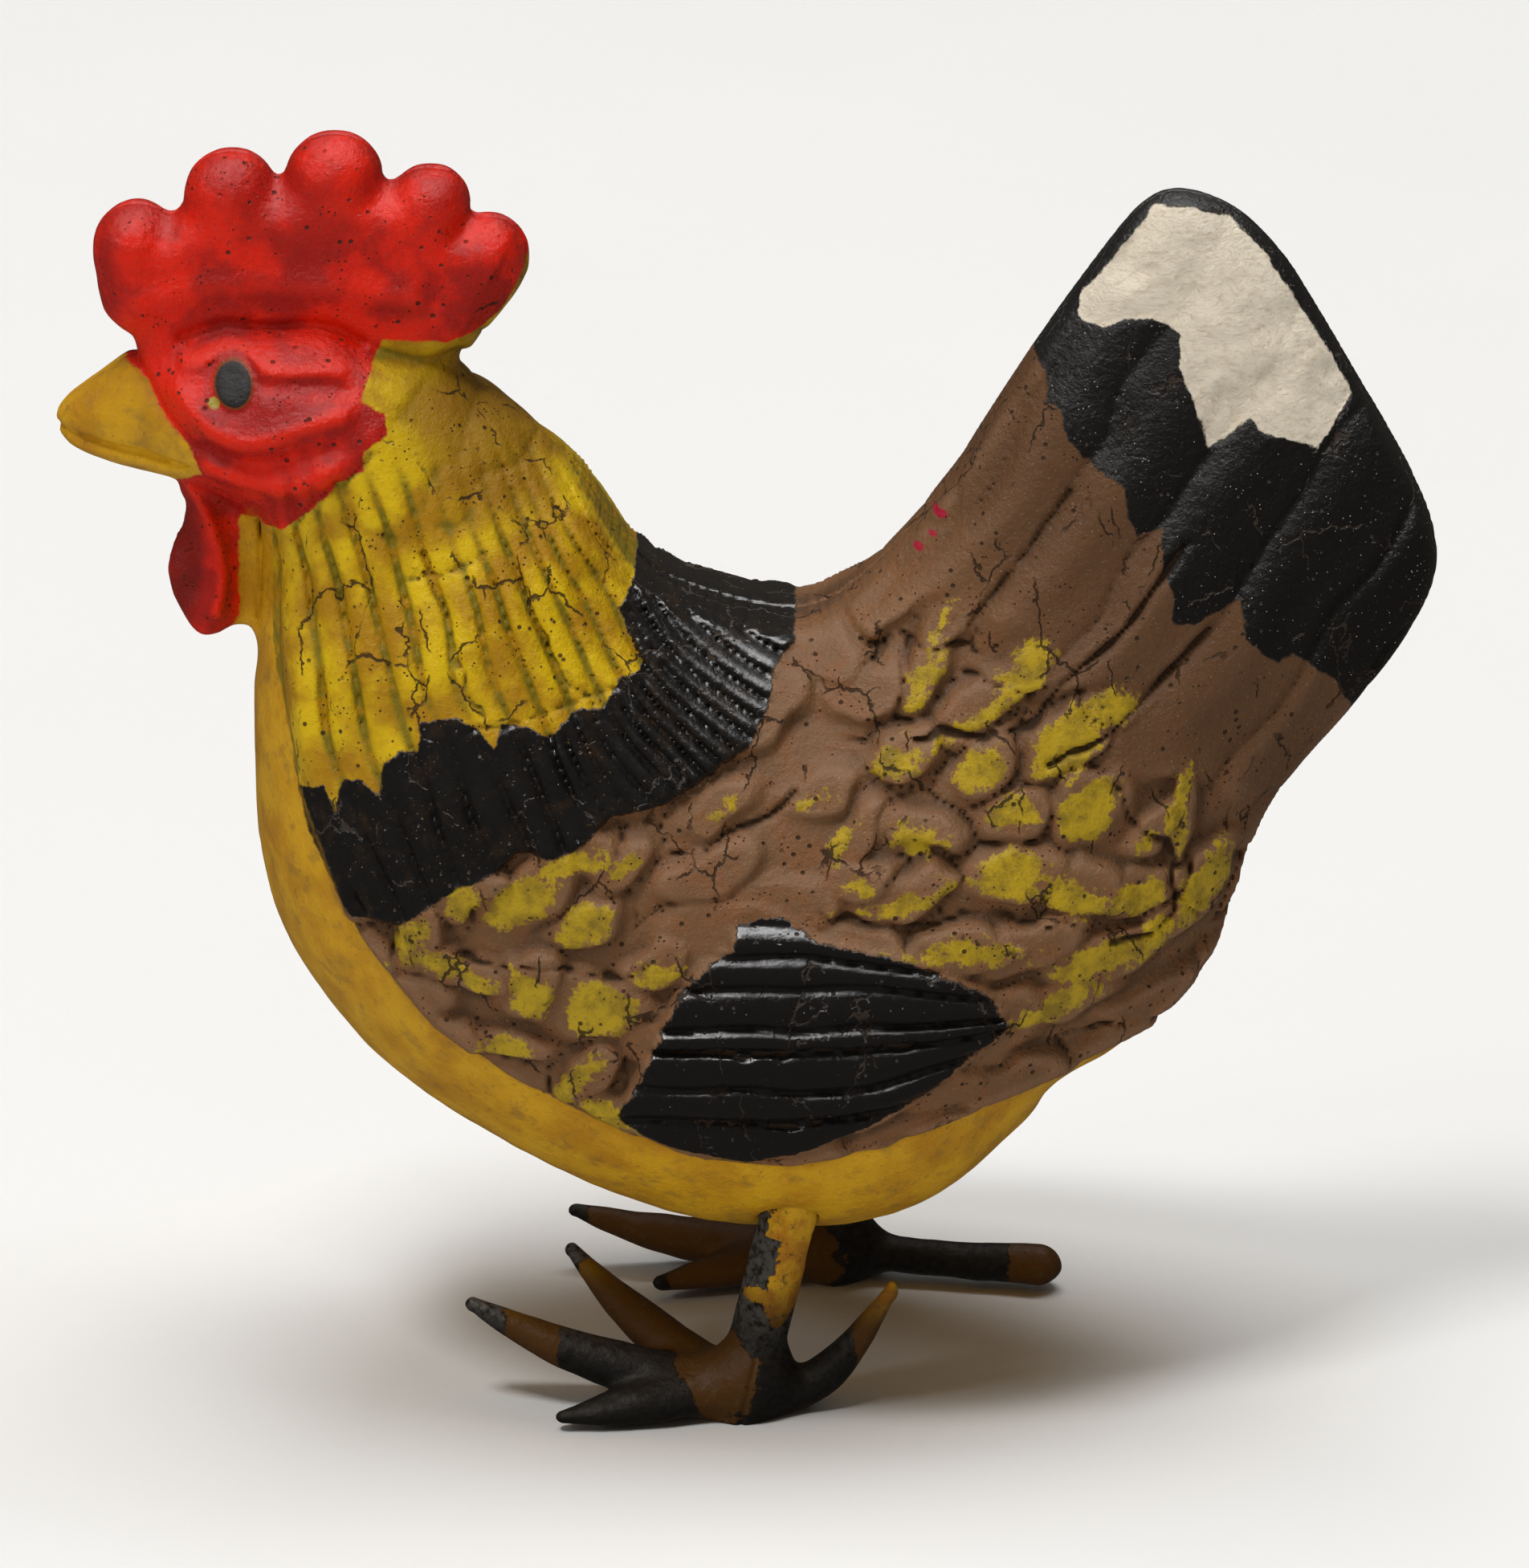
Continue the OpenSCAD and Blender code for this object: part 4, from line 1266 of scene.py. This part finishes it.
CAMERA_TARGET = Vector((0.0, 0.0, 0.027))
CAMERA_AZIMUTH = 0.5     # degrees
CAMERA_ELEVATION = 20.0
CAMERA_ROLL = 0.35
CAMERA_DISTANCE = 0.400
CAMERA_LENS = 215.4      # millimetres, on a 36 mm sensor
CAMERA_SHIFT = (0.0115, -0.0166)

# Each light: name, azimuth, elevation, distance, side in metres, power, color
LIGHTS = [
    ("key_light", -45.0, 66.0, 1.20, (0.26, 0.26), 6.0, (1.0, 0.99, 0.98)),
    ("top_light", 165.0, 81.0, 1.20, (0.75, 0.75), 10.8, (1.0, 1.0, 1.0)),
    ("front_light", -12.0, 21.0, 1.40, (0.95, 0.70), 8.0, (1.0, 0.98, 0.95)),
    ("glint_light", -62.0, 34.0, 1.20, (0.14, 0.14), 0.8, (1.0, 1.0, 1.0)),
]
WORLD_COLOR = (1.0, 0.86, 0.70, 1.0)
WORLD_STRENGTH = 0.06


def direction(azimuth, elevation):
    """Unit vector from the target, azimuth 0 towards -Y and 90 towards +X."""
    a, e = math.radians(azimuth), math.radians(elevation)
    return Vector((math.sin(a) * math.cos(e), -math.cos(a) * math.cos(e), math.sin(e)))


def aimed(obj, azimuth, elevation, distance, roll=0.0):
    obj.location = CAMERA_TARGET + direction(azimuth, elevation) * distance
    look = (CAMERA_TARGET - obj.location).to_track_quat("-Z", "Y")
    obj.rotation_euler = (look.to_matrix() @ Matrix.Rotation(math.radians(roll), 3, "Z")).to_euler()
    bpy.context.scene.collection.objects.link(obj)
    return obj


def add_camera():
    data = bpy.data.cameras.new("camera")
    data.lens = CAMERA_LENS
    data.sensor_width = 36.0
    data.shift_x, data.shift_y = CAMERA_SHIFT
    camera = aimed(bpy.data.objects.new("camera", data), CAMERA_AZIMUTH, CAMERA_ELEVATION,
                   CAMERA_DISTANCE, CAMERA_ROLL)
    bpy.context.scene.camera = camera


def add_softbox(name, azimuth, elevation, distance, size, power, color):
    data = bpy.data.lights.new(name, "AREA")
    data.shape = "RECTANGLE"
    data.size, data.size_y = size
    data.energy = power
    data.color = color
    return aimed(bpy.data.objects.new(name, data), azimuth, elevation, distance)


def add_floor():
    """A pale sheet that curves up behind the bird, and doesn't show in its gloss."""
    reach, depth, rise, bend = 2.0, 1.2, 1.5, 0.5
    profile = [(-reach, 0.0), (depth - bend, 0.0)]
    profile += [(depth - bend + bend * math.sin(a), bend - bend * math.cos(a))
                for a in np.linspace(0.1, math.pi / 2, 12)]
    profile.append((depth, rise))
    points = [(x, y, z) for y, z in profile for x in (-reach, reach)]
    faces = [(2 * i, 2 * i + 1, 2 * i + 3, 2 * i + 2) for i in range(len(profile) - 1)]
    mesh = bpy.data.meshes.new("floor")
    mesh.from_pydata(points, [], faces)
    for polygon in mesh.polygons:
        polygon.use_smooth = True
    mesh.materials.append(paper())
    floor = bpy.data.objects.new("floor", mesh)
    bpy.context.scene.collection.objects.link(floor)
    floor.visible_glossy = False
    return floor


def keep_off(light, obj):
    """Lets a light pass over one object, so that it doesn't lighten the shadow there."""
    passed_over = bpy.data.collections.new(light.name + "_passes_over")
    passed_over.objects.link(obj)
    light.light_linking.receiver_collection = passed_over
    passed_over.collection_objects[0].light_linking.link_state = "EXCLUDE"


def add_world():
    world = bpy.data.worlds.new("studio")
    bpy.context.scene.world = world
    world.use_nodes = True
    background = world.node_tree.nodes["Background"]
    background.inputs["Color"].default_value = WORLD_COLOR
    background.inputs["Strength"].default_value = WORLD_STRENGTH


def build_studio():
    """The front light fills the bird only: it is hidden from gloss and passes over the floor."""
    bpy.context.scene.view_settings.view_transform = "Standard"
    add_camera()
    floor = add_floor()
    add_world()
    lights = {spec[0]: add_softbox(*spec) for spec in LIGHTS}
    fill = lights["front_light"]
    fill.visible_glossy = False
    keep_off(fill, floor)


build_body()
build_feet()
finish_wires()
build_studio()
